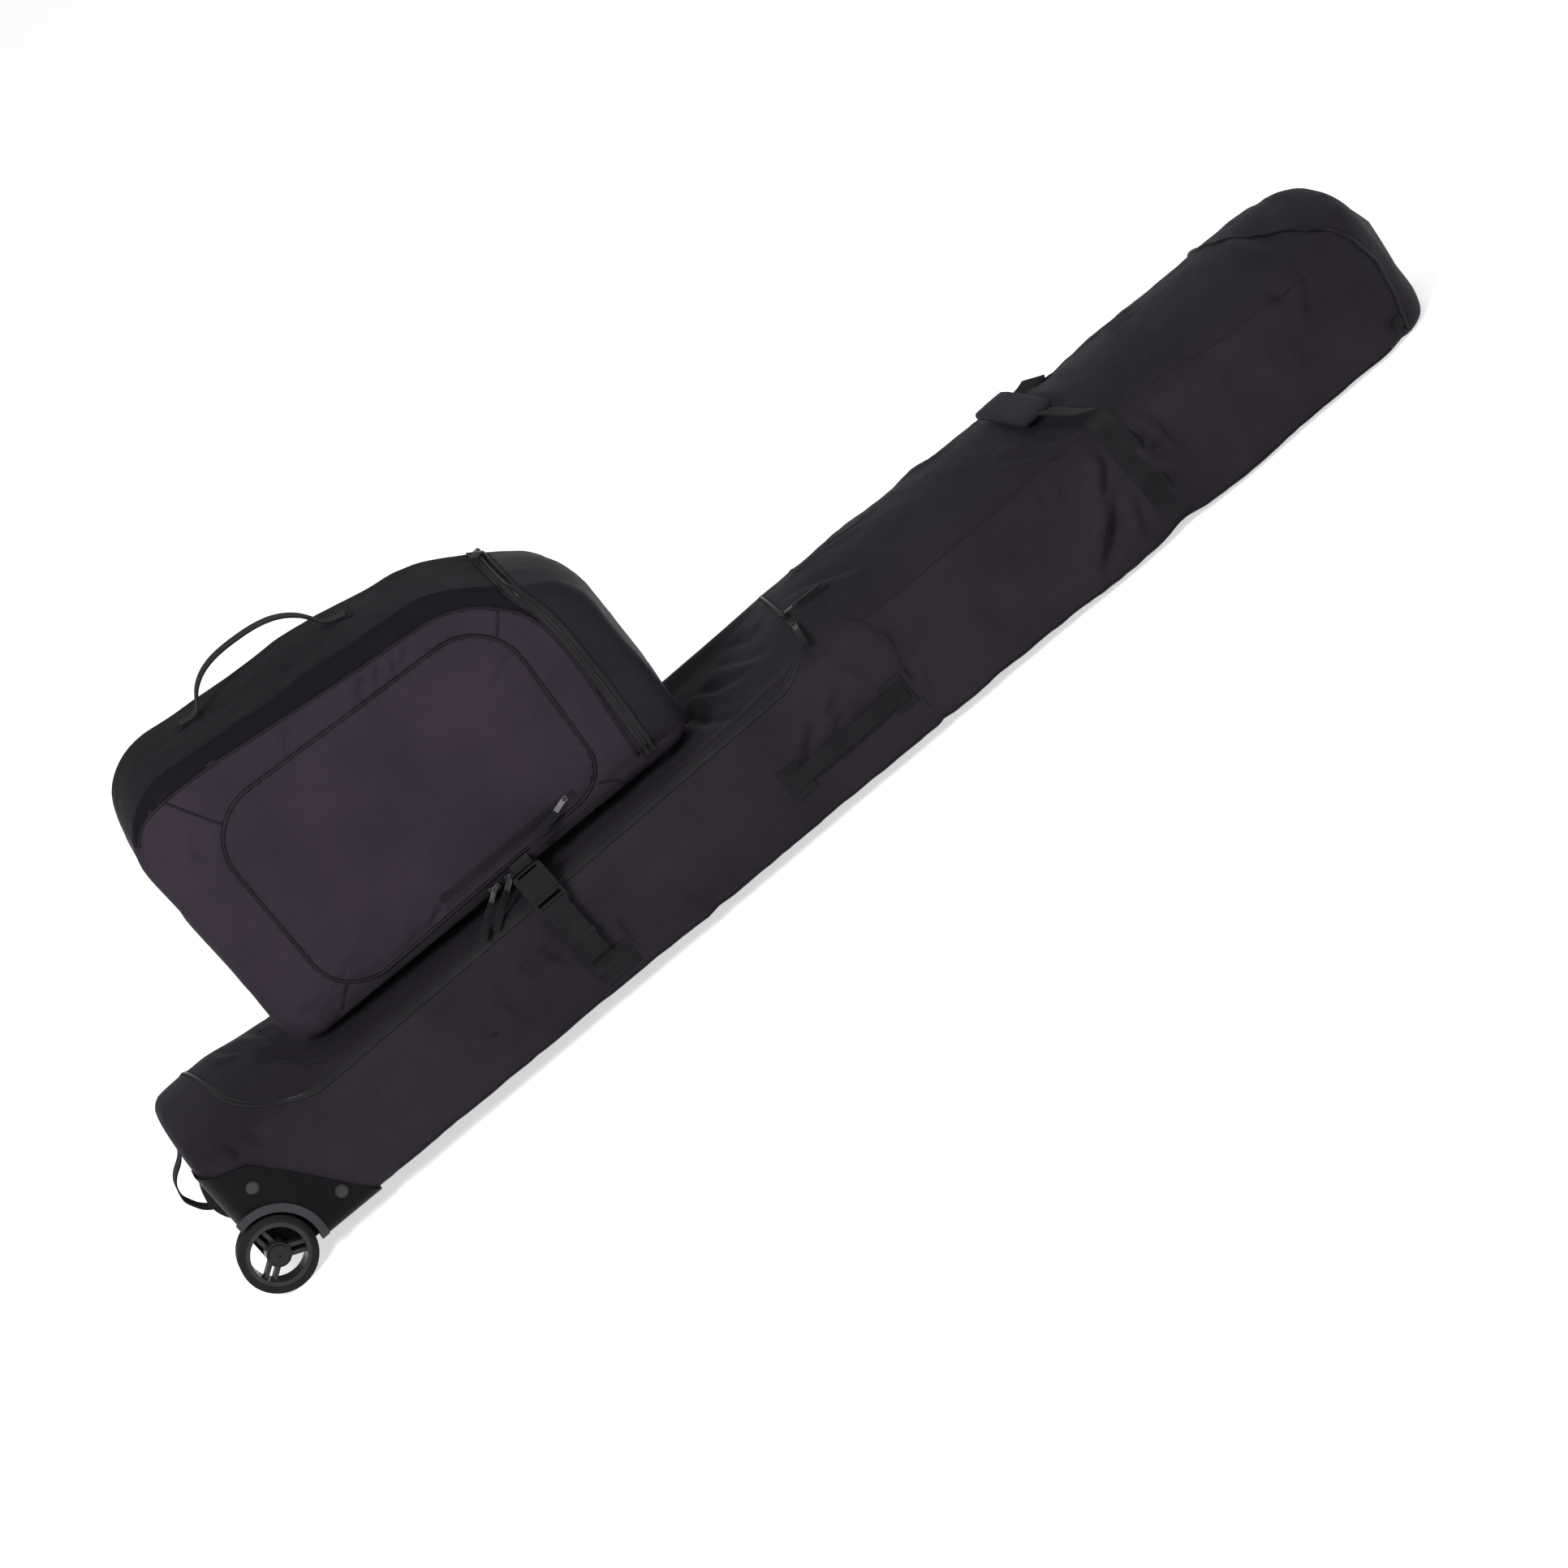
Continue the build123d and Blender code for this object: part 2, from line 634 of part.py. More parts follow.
# Far strap: sewn to the lid beside its hinge, and upright against the duffel's back
far_face_y = duffel_far_y + 2 * webbing_thickness
lid_top_at_strap = surface_z(strap_x, far_face_y)
far_ladder_low = lid_top_at_strap + 9.0
far_ladder = ladder_half(far_face_y, far, far_ladder_low)
far_socket_low = far_ladder_low + ladder_length + 0.4
far_socket = socket_half(far_face_y, far, far_socket_low)
far_web_y = far_face_y + buckle_thickness / 2
far_strap = block(strap_x - strap_width / 2 + 0.4, strap_x + strap_width / 2 - 0.4,
                  far_web_y - webbing_thickness / 2, far_web_y + webbing_thickness / 2,
                  lid_top_at_strap - 12, far_ladder_low)
foot_skin = roller_body(-webbing_thickness) & block(
    strap_x - strap_width / 2, strap_x + strap_width / 2, far_face_y - 4, lid_hinge_y - 2, 100, 400
)
far_strap = (far_strap + foot_skin) - roller_body(-0.05)


# ---------------------------------------------------------------- handles
handle_face = -half_width
anchor_pads = block(handle_start_x - 3, handle_start_x + handle_anchor_length, handle_face,
                    handle_face - 1.6, base_z(0) + handle_z - handle_anchor_width / 2,
                    base_z(0) + handle_z + handle_anchor_width / 2)
second_pad = block(handle_end_x - handle_anchor_length, handle_end_x + 3, handle_face,
                   handle_face - 1.6, base_z(0) + handle_z - handle_anchor_width / 2,
                   base_z(0) + handle_z + handle_anchor_width / 2)
side_handle_anchors = [anchor_pads, second_pad]
handle_in = handle_face - 1.6 - 0.3
handle_path = [
    (handle_start_x + 2, handle_in - webbing_thickness / 2),
    (handle_start_x + handle_anchor_length, handle_in - webbing_thickness / 2),
    (handle_start_x + handle_anchor_length + 22, handle_in - handle_stand),
    (handle_end_x - handle_anchor_length - 22, handle_in - handle_stand),
    (handle_end_x - handle_anchor_length, handle_in - webbing_thickness / 2),
    (handle_end_x - 2, handle_in - webbing_thickness / 2),
]


def plan_ribbon(points, thickness, z0, z1):
    """Webbing that runs in plan, with its width upright."""
    face = make_face(offset(Polyline(*points), amount=thickness / 2, side=Side.BOTH).edges())
    return extrude(Plane.XY.offset(z0) * face, amount=z1 - z0, dir=(0, 0, 1))


handle_mid_z = base_z(0) + handle_z
side_handle = plan_ribbon(handle_path, webbing_thickness, handle_mid_z - handle_width / 2,
                          handle_mid_z + handle_width / 2)

end_anchor_low = block(wheel_end_x, wheel_end_x - 1.6, -end_loop_width / 2 - 3,
                       end_loop_width / 2 + 3, end_loop_low_z - 10, end_loop_low_z + 16)
end_anchor_high = block(wheel_end_x, wheel_end_x - 1.6, -end_loop_width / 2 - 3,
                        end_loop_width / 2 + 3, end_loop_high_z - 16, end_loop_high_z + 8)
end_loop_anchors = [end_anchor_low, end_anchor_high]
loop_face = wheel_end_x - 1.6 - 0.3 - webbing_thickness / 2
loop_tip = wheel_end_x - end_loop_reach + webbing_thickness / 2
end_loop = ribbon(
    [
        (loop_face, end_loop_low_z - 6),
        (loop_face, end_loop_low_z + 12),
        (loop_tip + 10, end_loop_low_z + 26),
        (loop_tip, end_loop_low_z + 46),
        (loop_tip, end_loop_high_z - 46),
        (loop_tip + 10, end_loop_high_z - 26),
        (loop_face, end_loop_high_z - 12),
        (loop_face, end_loop_high_z + 4),
    ],
    end_loop_width, webbing_thickness, middle_y=0,
)

# Haul band round the tube, and the padded loop that lies back from it
band_x0 = haul_band_x - haul_band_width / 2
band_x1 = haul_band_x + haul_band_width / 2
band_skin = roller_body(-webbing_thickness) - outer_body
haul_bands = band_skin & block(band_x0, band_x1, -300, 300, -50, 400)
haul_bands -= band_between(lambda x: -90.0, lambda x: base_z(x) + base_edge_r, -x_far, x_far)
haul_bands -= block(-1000, 1000, -haul_anchor_y, haul_anchor_y, 60, 400)
loop_x = haul_band_x - haul_reach
grip_z = top_z(loop_x - haul_grip_width / 2) + haul_grip_thickness / 2
haul_hinge_z = surface_z(haul_band_x, haul_anchor_y - 10) + 2 * webbing_thickness + 1.4
haul_lean = degrees(atan2(grip_z - haul_hinge_z, haul_reach))
haul_plane = Plane(
    origin=(haul_band_x, 0, haul_hinge_z),
    x_dir=(-cos(radians(haul_lean)), 0, sin(radians(haul_lean))),
    z_dir=(sin(radians(haul_lean)), 0, cos(radians(haul_lean))),
)


def haul_web(side):
    """One strap of the haul loop, from the band up to the padded grip."""
    start = (6.0, side * haul_anchor_y)
    bend = (14.0, side * (haul_anchor_y - 5))
    end = (haul_reach - 2, side * (haul_grip_length / 2 - 2))
    path = Polyline(start, bend, end)
    face = make_face(offset(path, amount=(haul_band_width - 18) / 2, side=Side.BOTH).edges())
    return extrude(Plane.XY.offset(-webbing_thickness / 2) * face, amount=webbing_thickness)


haul_span = haul_anchor_y - haul_play
haul_room = block(-1000, 1000, -haul_span, haul_span, 0, 400)
haul_webs = [(haul_plane * haul_web(side)) & haul_room for side in (near, far)]
haul_straps = Compound(haul_webs)
haul_grip = Box(haul_grip_width, haul_grip_length, haul_grip_thickness)
haul_grip = Pos(loop_x, 0, grip_z) * fillet(haul_grip.edges().filter_by(Axis.Y), 5.5)
haul_grip -= haul_webs[0] + haul_webs[1]

tab_z = base_z(cap_x) + 26
end_tab = roller_body(-piping_proud - tab_thickness) - roller_body(-piping_proud)
end_tab &= block(cap_x + 2, cap_x + 15, 0, -half_width - 10, tab_z - 8, tab_z + 4)

# ---------------------------------------------------------------- duffel
def duffel_outline(inset):
    """Front outline of the duffel: a slanted box with big soft corners."""
    low_left = top_z(duffel_left_x) + duffel_seat_gap + inset
    low_right = top_z(duffel_right_x) + duffel_seat_gap + inset
    left = duffel_left_x + inset
    right = duffel_right_x - inset
    points = [
        (left, low_left),
        (left, duffel_left_z - inset),
        (duffel_shoulder_x, duffel_shoulder_z - inset),
        (right, duffel_right_z - inset * 0.6),
        (right - 6, low_right),
    ]
    outline = Polyline(*points, close=True)
    radii = [34, 52, 70, 64, 30]
    wire = outline
    for spot, radius in zip(points, radii):
        vertex = wire.vertices().sort_by_distance((spot[0], spot[1], 0))[0]
        wire = fillet([vertex], radius - inset)
    return make_face(wire)


def duffel_form(inset):
    """Closed form of the duffel, drawn in by inset."""
    near_y = duffel_near_y + inset
    far_y = duffel_far_y - inset
    plane = Plane(origin=(0, near_y, 0), x_dir=(1, 0, 0), z_dir=(0, -1, 0))
    form = extrude(plane * duffel_outline(inset), amount=far_y - near_y, dir=(0, 1, 0))
    rims = [
        e for e in form.edges()
        if abs(e.bounding_box().max.Y - e.bounding_box().min.Y) < 0.01
    ]
    return fillet(rims, duffel_edge_r - inset)


duffel_outer = duffel_form(0.0)
duffel_inner = duffel_form(duffel_wall)
duffel_skin = duffel_outer - duffel_inner
sill_z = top_z(duffel_split_x) + duffel_edge_r
door_cut = block(duffel_split_x, 600, -400, 400, sill_z, 900)
door_zip_block = block(duffel_split_x - zip_width, duffel_split_x, -400, 400, -50, 900)
end_door = duffel_skin & block(duffel_split_x + lid_gap, 600, -400, 400, sill_z + lid_gap, 900)
zip_front = block(-1000, 1000, -400, duffel_far_y - duffel_edge_r - 1, -50, 900)
above_floor = block(-1000, 1000, -400, 400, sill_z, 900)
duffel_raised = duffel_form(-zip_proud)
door_zip = (duffel_raised - duffel_inner) & door_zip_block & zip_front & above_floor
duffel_rest = duffel_skin - door_cut - door_zip
front_cut_y = duffel_near_y + duffel_panel
back_cut_y = duffel_far_y - duffel_panel
duffel_front = duffel_rest & block(-1000, 1000, -400, front_cut_y, -50, 900)
duffel_back = duffel_rest & block(-1000, 1000, back_cut_y, 400, -50, 900)
gusset = duffel_rest & block(-1000, 1000, front_cut_y, back_cut_y, -50, 900)
base_line = duffel_left_x + 40
top_line_z = 330.0
duffel_base = gusset & block(base_line, 1000, -400, 400, -50, top_line_z)
duffel_left_end = gusset & block(-1000, base_line, -400, 400, -50, 900)
duffel_top = gusset & block(base_line, 1000, -400, 400, top_line_z, 900)

# Zips on the duffel's front: one along the foot, one over the pocket, one over the top corner
foot_zip_z = top_z((foot_start_x + foot_end_x) / 2) + duffel_seat_gap + duffel_edge_r * 0.8
duffel_tilt = degrees(atan2(top_z(duffel_right_x) - top_z(duffel_left_x), duffel_right_x - duffel_left_x))


def front_zip(x0, x1, z_middle):
    """Zip tape proud of the duffel's front, also where the foot starts to round under."""
    strip = Box(x1 - x0, zip_proud + 5, zip_width - 1,
                align=(Align.CENTER, Align.MIN, Align.CENTER))
    lean = Rot(0, -duffel_tilt, 0)
    return Pos((x0 + x1) / 2, duffel_near_y - zip_proud, z_middle) * lean * strip - duffel_outer


foot_middle_x = (foot_start_x + foot_end_x) / 2
foot_zip = front_zip(foot_start_x, foot_end_x, foot_zip_z)
pocket_zip_z = foot_zip_z + pocket_over_foot
pocket_zip = front_zip(pocket_start_x, pocket_end_x, pocket_zip_z)
front_zips = Compound([foot_zip, pocket_zip])


# ---------------------------------------------------------------- sliders and pulls
def slider_body():
    """Zip slider: a waisted body with an upright post and a round head that holds the pull."""
    body = Box(slider_length, slider_width, slider_height,
               align=(Align.CENTER, Align.CENTER, Align.MIN))
    body = fillet(body.edges().filter_by(Axis.Z), 2.5)
    for side in (-1, 1):
        body -= Pos(0, side * (slider_width / 2 + 3.2), 0) * Cylinder(4.5, 20)
    post_height = slider_height + pull_thickness + 2 * pull_play
    post = Pos(0, 0, post_height / 2) * Cylinder(post_radius, post_height)
    head = Pos(0, 0, post_height + 0.5) * Cylinder(post_radius + 1.1, 1.0)
    return body + post + head


def pull_body(rise_deg):
    """Metal tab with an eye at the origin, and the webbing tab folded through its end.

    The eye lies flat round its post, and the rest is bent up by rise_deg.
    """
    root = post_radius + 1.2
    rise = Pos(root, 0, 0) * Rot(0, -rise_deg, 0) * Pos(-root, 0, 0)
    eye = Cylinder(post_radius + 2.0, pull_thickness)
    tab = Pos((root + pull_metal_length) / 2, 0, 0)
    tab = tab * Box(pull_metal_length - root, pull_metal_width, pull_thickness)
    ends = tab.edges().filter_by(Axis.Z).sort_by(Axis.X)[-2:]
    tab = fillet(ends, 1.5)
    tab -= Pos(pull_metal_length - 5, 0, 0) * Box(3.4, pull_metal_width - 3, 10)
    metal = eye + rise * tab - Cylinder(post_radius + pull_play, 10.0)
    web_start = pull_metal_length - 9
    web = Pos(web_start + pull_web_length / 2, 0, 0)
    web = web * Box(pull_web_length, pull_web_width, pull_thickness + 2 * pull_web_ply)
    web = fillet(web.edges().filter_by(Axis.Z), 2.0)
    web -= Pos(pull_metal_length / 2, 0, 0) * Box(
        pull_metal_length + 0.1, pull_web_width + 2, pull_thickness
    )
    return metal, rise * web


def place_slider(name, origin, along, outward, heading_deg, rise_deg):
    """Writes one slider and its pull.

    The slider runs along one direction with its back facing outward, and the pull swings
    about the post in the slider's own plane: heading_deg is its turn from the run, and
    rise_deg is how far it stands off that plane.
    """
    plane = Plane(origin=origin, x_dir=along, z_dir=outward)
    save(name + "_slider", plane * slider_body())
    metal, web = pull_body(rise_deg)
    lift = slider_height + pull_play + pull_thickness / 2
    pose = plane * Pos(0, 0, lift) * Rot(0, 0, heading_deg)
    save(name + "_pull", Compound([pose * metal, pose * web]))
    print(name, "post through", [round(v, 3) for v in origin])


main_run_x = lid_end_x + zip_width / 2 + 0.6
for word, y, heading, rise in (("far", main_far_y, -130, 12), ("near", main_near_y, 174, 4)):
    z = surface_z(main_run_x, y) + zip_proud + main_slider_float
    drop = 2 * dome_rise(main_run_x) * y / (half_width - top_edge_r) ** 2
    out = Vector(0, drop, 1).normalized()
    run = Vector(0, 1, -drop).normalized()
    spot = (main_run_x, y, z)
    place_slider("main_zip_" + word, spot, tuple(run), tuple(out), heading, rise)

front_y = duffel_near_y - zip_proud - slider_float
lean_dir = (cos(radians(duffel_tilt)), 0, sin(radians(duffel_tilt)))


def on_front(x, x_ref, z_ref):
    """Point on a front zip at x, following its slant."""
    return (x, front_y, z_ref + (x - x_ref) * tan(radians(duffel_tilt)))


# The pulls hang towards the wheel end and down, and lean out over the roller's near edge
foot_left = on_front(foot_left_x, foot_middle_x, foot_zip_z)
foot_right = on_front(foot_right_x, foot_middle_x, foot_zip_z)
pocket_spot = on_front(pocket_end_x - 12, (pocket_start_x + pocket_end_x) / 2, pocket_zip_z)
place_slider("foot_zip_left", foot_left, lean_dir, (0, -1, 0), -152, 40)
place_slider("foot_zip_right", foot_right, lean_dir, (0, -1, 0), -152, 33)
place_slider("pocket_zip", pocket_spot, lean_dir, (0, -1, 0), -170, 22)

shoulder_fall = (duffel_shoulder_z - duffel_right_z) / (duffel_right_x - duffel_shoulder_x)
shoulder_out = Vector(shoulder_fall, 0, 1).normalized()
door_slide_x = duffel_split_x - zip_width / 2
door_slide_z = duffel_shoulder_z - shoulder_fall * (door_slide_x - duffel_shoulder_x)
door_spot = Vector(door_slide_x, door_slider_y, door_slide_z) + shoulder_out * (zip_proud + slider_float)
place_slider("door_zip", tuple(door_spot), (0, 1, 0), tuple(shoulder_out), 165, 3)

# ---------------------------------------------------------------- duffel straps and handle
socket_top = socket_low_z + socket_length
near_web_z = socket_top - 3.6
duffel_strap_near = block(strap_x - strap_width / 2 + 3.4, strap_x + strap_width / 2 - 3.4,
                          duffel_near_y + duffel_edge_r, ladder_face_y - buckle_thickness / 2,
                          near_web_z - 0.9, near_web_z + 0.9)
duffel_strap_near -= duffel_outer
far_socket_top = far_socket_low + socket_length
far_web_z = far_socket_top - 3.6
duffel_strap_far = block(strap_x - strap_width / 2 + 3.4, strap_x + strap_width / 2 - 3.4,
                         duffel_far_y, far_face_y + buckle_thickness / 2, far_web_z - 0.9, far_web_z + 0.9)
duffel_strap_far += block(strap_x - strap_width / 2, strap_x + strap_width / 2, duffel_far_y,
                          duffel_far_y + webbing_thickness, far_web_z - 0.9, far_web_z + 34)
duffel_strap_far -= duffel_outer


def duffel_top_z(x):
    """Height of the duffel's slanting top."""
    slope = (duffel_shoulder_z - duffel_left_z) / (duffel_shoulder_x - duffel_left_x)
    return duffel_left_z + slope * (x - duffel_left_x)


handle_points = []
handle_steps = 8
for step in range(handle_steps + 1):
    share = step / handle_steps
    x = duffel_handle_start_x + share * (duffel_handle_end_x - duffel_handle_start_x)
    rise = duffel_handle_rise * (1 - (2 * share - 1) ** 4)
    handle_points.append((x, duffel_top_z(x) + 2.8 + rise))
handle_points.insert(0, (duffel_handle_start_x - 24, duffel_top_z(duffel_handle_start_x - 24) + 2.8))
handle_points.append((duffel_handle_end_x + 24, duffel_top_z(duffel_handle_end_x + 24) + 2.8))
duffel_handle = ribbon(handle_points, duffel_handle_width, webbing_thickness, middle_y=duffel_handle_y)


def handle_pad(x0, x1):
    """Stitched webbing patch under one end of the duffel's handle."""
    width = duffel_handle_width + 6
    points = [(x0, duffel_top_z(x0) - 0.6), (x1, duffel_top_z(x1) - 0.6),
              (x1, duffel_top_z(x1) + 1.5), (x0, duffel_top_z(x0) + 1.5)]
    pad = side_block(points, duffel_handle_y - width / 2, duffel_handle_y + width / 2)
    return pad - duffel_outer


duffel_handle_pads = Compound([
    handle_pad(duffel_handle_start_x - 30, duffel_handle_start_x + 2),
    handle_pad(duffel_handle_end_x - 2, duffel_handle_end_x + 30),
])

# ---------------------------------------------------------------- write the sub-parts
save("base_panel", base_panel)
save("near_side_panel", near_side_panel)
save("far_side_panel", far_side_panel)
save("wheel_end_panel", wheel_end_panel)
save("upper_top_panel", upper_top_panel)
save("top_end_cap", top_end_cap)
save("end_piping", end_piping)
save("main_zip", main_zip)
save("lid_flap", lid_flap)
save("base_board", board)
save("inner_straps", Compound([inner_strap(x) for x in inner_strap_x]))
save("inner_buckles", Compound([inner_buckle(x) for x in inner_strap_x]))
axles = []
for side, word in ((near, "near"), (far, "far")):
    save(word + "_wheel_housing", corner_housing(side))
    tyre, rim, bearings, axle = wheel_parts(side)
    save(word + "_tyre", tyre)
    save(word + "_rim", rim)
    save(word + "_bearings", bearings)
    axles.append(axle)
save("axles", Compound(axles))
save("arch_trims", Compound([arch_trim(near), arch_trim(far)]))
save("housing_rivets", Compound([rivet(x, z, s) for x, z in rivet_points for s in (near, far)]))
save("near_strap", near_strap)
save("near_strap_keeper", keeper)
save("near_ladder_buckle", near_ladder)
save("far_strap", far_strap)
save("far_ladder_buckle", far_ladder)
save("socket_buckles", Compound([near_socket, far_socket]))
save("duffel_straps", Compound([duffel_strap_near, duffel_strap_far]))
save("handle_anchors", Compound(side_handle_anchors + end_loop_anchors))
save("side_handle", side_handle)
save("end_loop", end_loop)
save("haul_bands", haul_bands)
save("haul_straps", haul_straps)
save("haul_grip", haul_grip)
save("end_tab", end_tab)
save("duffel_front", duffel_front)
save("duffel_back", duffel_back)
save("duffel_top", duffel_top)
save("duffel_base", duffel_base)
save("duffel_left_end", duffel_left_end)
save("duffel_end_door", end_door)
save("door_zip_tape", door_zip)
save("front_zips", front_zips)
save("duffel_handle", duffel_handle)
save("duffel_handle_pads", duffel_handle_pads)
hinge_low = Vector(lid_start_x, lid_hinge_y, surface_z(lid_start_x, lid_hinge_y))
hinge_high = Vector(lid_low_x, lid_hinge_y, surface_z(lid_low_x, lid_hinge_y))
print("lid hinge from", tuple(hinge_low), "to", tuple(hinge_high))
print("haul hinge at", haul_band_x, haul_hinge_z, "grip lean", haul_lean)
print("ladder low", ladder_low_z, "far ladder low", far_ladder_low)
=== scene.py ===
import math
import bpy
from mathutils import Matrix, Vector, noise
from mathutils.bvhtree import BVHTree


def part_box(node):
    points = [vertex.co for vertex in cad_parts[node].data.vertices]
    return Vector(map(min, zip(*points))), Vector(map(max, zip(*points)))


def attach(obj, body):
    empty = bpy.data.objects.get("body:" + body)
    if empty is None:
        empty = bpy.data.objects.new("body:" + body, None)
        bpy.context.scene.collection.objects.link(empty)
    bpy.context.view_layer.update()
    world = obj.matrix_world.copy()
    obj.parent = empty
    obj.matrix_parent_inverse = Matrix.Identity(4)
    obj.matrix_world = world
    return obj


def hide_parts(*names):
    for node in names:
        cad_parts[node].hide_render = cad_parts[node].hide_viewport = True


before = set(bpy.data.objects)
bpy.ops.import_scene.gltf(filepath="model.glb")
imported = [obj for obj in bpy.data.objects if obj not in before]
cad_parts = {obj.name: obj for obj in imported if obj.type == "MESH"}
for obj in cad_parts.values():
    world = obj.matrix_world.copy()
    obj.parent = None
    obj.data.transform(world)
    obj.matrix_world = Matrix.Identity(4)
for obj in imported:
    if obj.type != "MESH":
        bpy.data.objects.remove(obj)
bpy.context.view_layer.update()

# Lengths are in metres. -X is the wheel end, +X the top end, -Y the side with the carry handle, +Z up.
pi = math.pi


def clamp(value, low=0.0, high=1.0):
    return max(low, min(high, value))


def smooth(value, low=0.0, high=1.0):  # 0 below low, 1 above high, soft between
    share = clamp((value - low) / (high - low))
    return share * share * (3 - 2 * share)


def bump(value, middle, width):
    return math.exp(-((value - middle) / width) ** 2)


def mix(first, second, share):
    return first + (second - first) * share


def spread(low, high, count):  # evenly spaced values from low to high
    return [mix(low, high, step / (count - 1)) for step in range(count)]


def grain(x, y, z, size, seed=0.0):  # soft noise of about -1 to 1, with waves of this size
    return noise.noise(Vector((x / size + seed, y / size - seed, z / size + 2 * seed)))


# Camera, lamps and floor
view = {"aim": (-0.048, 0.0, 0.0295), "azimuth": -1.4, "elevation": 18.0, "roll": -40.0,
        "distance": 8.0, "lens": 160.2, "sensor": 36, "clipEnd": 200}


def makeCamera():
    camera = bpy.data.cameras.new("camera")
    holder = bpy.data.objects.new("camera", camera)
    bpy.context.collection.objects.link(holder)
    camera.type = "PERSP"
    camera.lens = view["lens"]
    camera.sensor_width = view["sensor"]
    camera.clip_end = view["clipEnd"]
    around = math.radians(view["azimuth"])
    up = math.radians(view["elevation"])
    back = Vector((math.sin(around) * math.cos(up), -math.cos(around) * math.cos(up), math.sin(up)))
    place = Vector(view["aim"]) + back * view["distance"]
    turn = back.to_track_quat("Z", "Y").to_matrix().to_4x4()
    roll = Matrix.Rotation(math.radians(view["roll"]), 4, "Z")
    holder.matrix_world = Matrix.Translation(place) @ turn @ roll
    bpy.context.scene.camera = holder


lamps = {"keyLamp": ((-1.9, -3.6, 2.8), 1.4, 150), "fillLamp": ((3.2, -3.4, 1.2), 2.2, 30),
         "topLamp": ((0.9, 0.6, 3.6), 1.2, 14)}  # place, size and power
studio = {"lampAim": (0, 0, 0.2), "worldStrength": 0.36, "floorSize": 120, "floorDrop": 0.0004,
          "floorShade": 0.93, "floorGlow": 0.62}


def makeLamps():
    for name, (place, size, power) in lamps.items():
        lamp = bpy.data.lights.new(name, "AREA")
        lamp.shape = "DISK"
        lamp.size = size
        lamp.energy = power
        holder = bpy.data.objects.new(name, lamp)
        bpy.context.collection.objects.link(holder)
        holder.location = place
        aim = Vector(place) - Vector(studio["lampAim"])
        holder.rotation_euler = aim.to_track_quat("Z", "Y").to_euler()
    world = bpy.data.worlds.new("studio")
    bpy.context.scene.world = world
    world.use_nodes = True
    background = world.node_tree.nodes["Background"]
    setInputs(background, {"Color": (1, 1, 1, 1), "Strength": studio["worldStrength"]})
    bpy.context.scene.view_settings.view_transform = "Standard"


# Making and finishing meshes
def clearSelection():
    if bpy.context.object and bpy.context.object.mode != "OBJECT":
        bpy.ops.object.mode_set(mode="OBJECT")
    bpy.ops.object.select_all(action="DESELECT")


def choose(piece):
    clearSelection()
    piece.select_set(True)
    bpy.context.view_layer.objects.active = piece


def wrapGrid(name, across, along, place, size=(1.0, 1.0)):  # a grid laid on a surface by place(u, v)
    clearSelection()
    bpy.ops.mesh.primitive_grid_add(x_subdivisions=across, y_subdivisions=along, size=2)
    piece = bpy.context.object
    piece.name = name
    piece.data.name = name
    for vertex in piece.data.vertices:
        vertex.co = place((vertex.co.x + 1) / 2, (vertex.co.y + 1) / 2)
    for corner in piece.data.uv_layers.active.data:
        corner.uv = (corner.uv[0] * size[0], corner.uv[1] * size[1])
    return piece


def applyModifier(piece, kind, **values):
    choose(piece)
    modifier = piece.modifiers.new(kind.title(), kind)
    for key, value in values.items():
        setattr(modifier, key, value)
    bpy.ops.object.modifier_apply(modifier=modifier.name)


def editWhole(piece, *steps):  # edit mode operators on all of a piece
    choose(piece)
    bpy.ops.object.mode_set(mode="EDIT")
    bpy.ops.mesh.select_all(action="SELECT")
    for operator, values in steps:
        operator(**values)
    bpy.ops.object.mode_set(mode="OBJECT")


def closeSeams(piece, reach=0.00005):  # merges what meets and turns every face outwards
    editWhole(piece, (bpy.ops.mesh.remove_doubles, {"threshold": reach}),
              (bpy.ops.mesh.normals_make_consistent, {"inside": False}))


def dropFaces(piece, test):
    choose(piece)
    bpy.ops.object.mode_set(mode="EDIT")
    bpy.ops.mesh.select_all(action="DESELECT")
    bpy.ops.object.mode_set(mode="OBJECT")
    for face in piece.data.polygons:
        face.select = test(face.center)
    bpy.ops.object.mode_set(mode="EDIT")
    bpy.ops.mesh.select_mode(type="FACE")
    bpy.ops.mesh.delete(type="FACE")
    bpy.ops.object.mode_set(mode="OBJECT")


def rimVertices(piece):  # vertices on the open edges
    uses = {}
    for face in piece.data.polygons:
        for key in face.edge_keys:
            uses[key] = uses.get(key, 0) + 1
    return {index for key, count in uses.items() if count == 1 for index in key}


def finishPiece(piece, body, material, nodes=(), angle=50):
    choose(piece)
    bpy.ops.object.shade_smooth_by_angle(angle=math.radians(angle))
    if material:
        piece.data.materials.clear()
        piece.data.materials.append(material)
    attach(piece, body)
    if nodes:
        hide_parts(*nodes)
    return piece


def roundCorners(points, radii, count):  # closed outline with rounded corners, evenly spaced
    trail, total, steps = [], len(points), 12
    for index in range(total):
        corner = Vector(points[index])
        before = (Vector(points[index - 1]) - corner).normalized()
        after = (Vector(points[(index + 1) % total]) - corner).normalized()
        half = before.angle(after) / 2
        reach = radii[index] / math.tan(half)
        middle = corner + (before + after).normalized() * radii[index] / math.sin(half)
        start = corner + before * reach - middle
        end = corner + after * reach - middle
        sweep = start.angle(end)
        for share in spread(0, 1, steps + 1):
            spot = start * math.sin((1 - share) * sweep) + end * math.sin(share * sweep)
            trail.append(middle + spot / math.sin(sweep))
    return evenTrail(trail, count, closed=True)


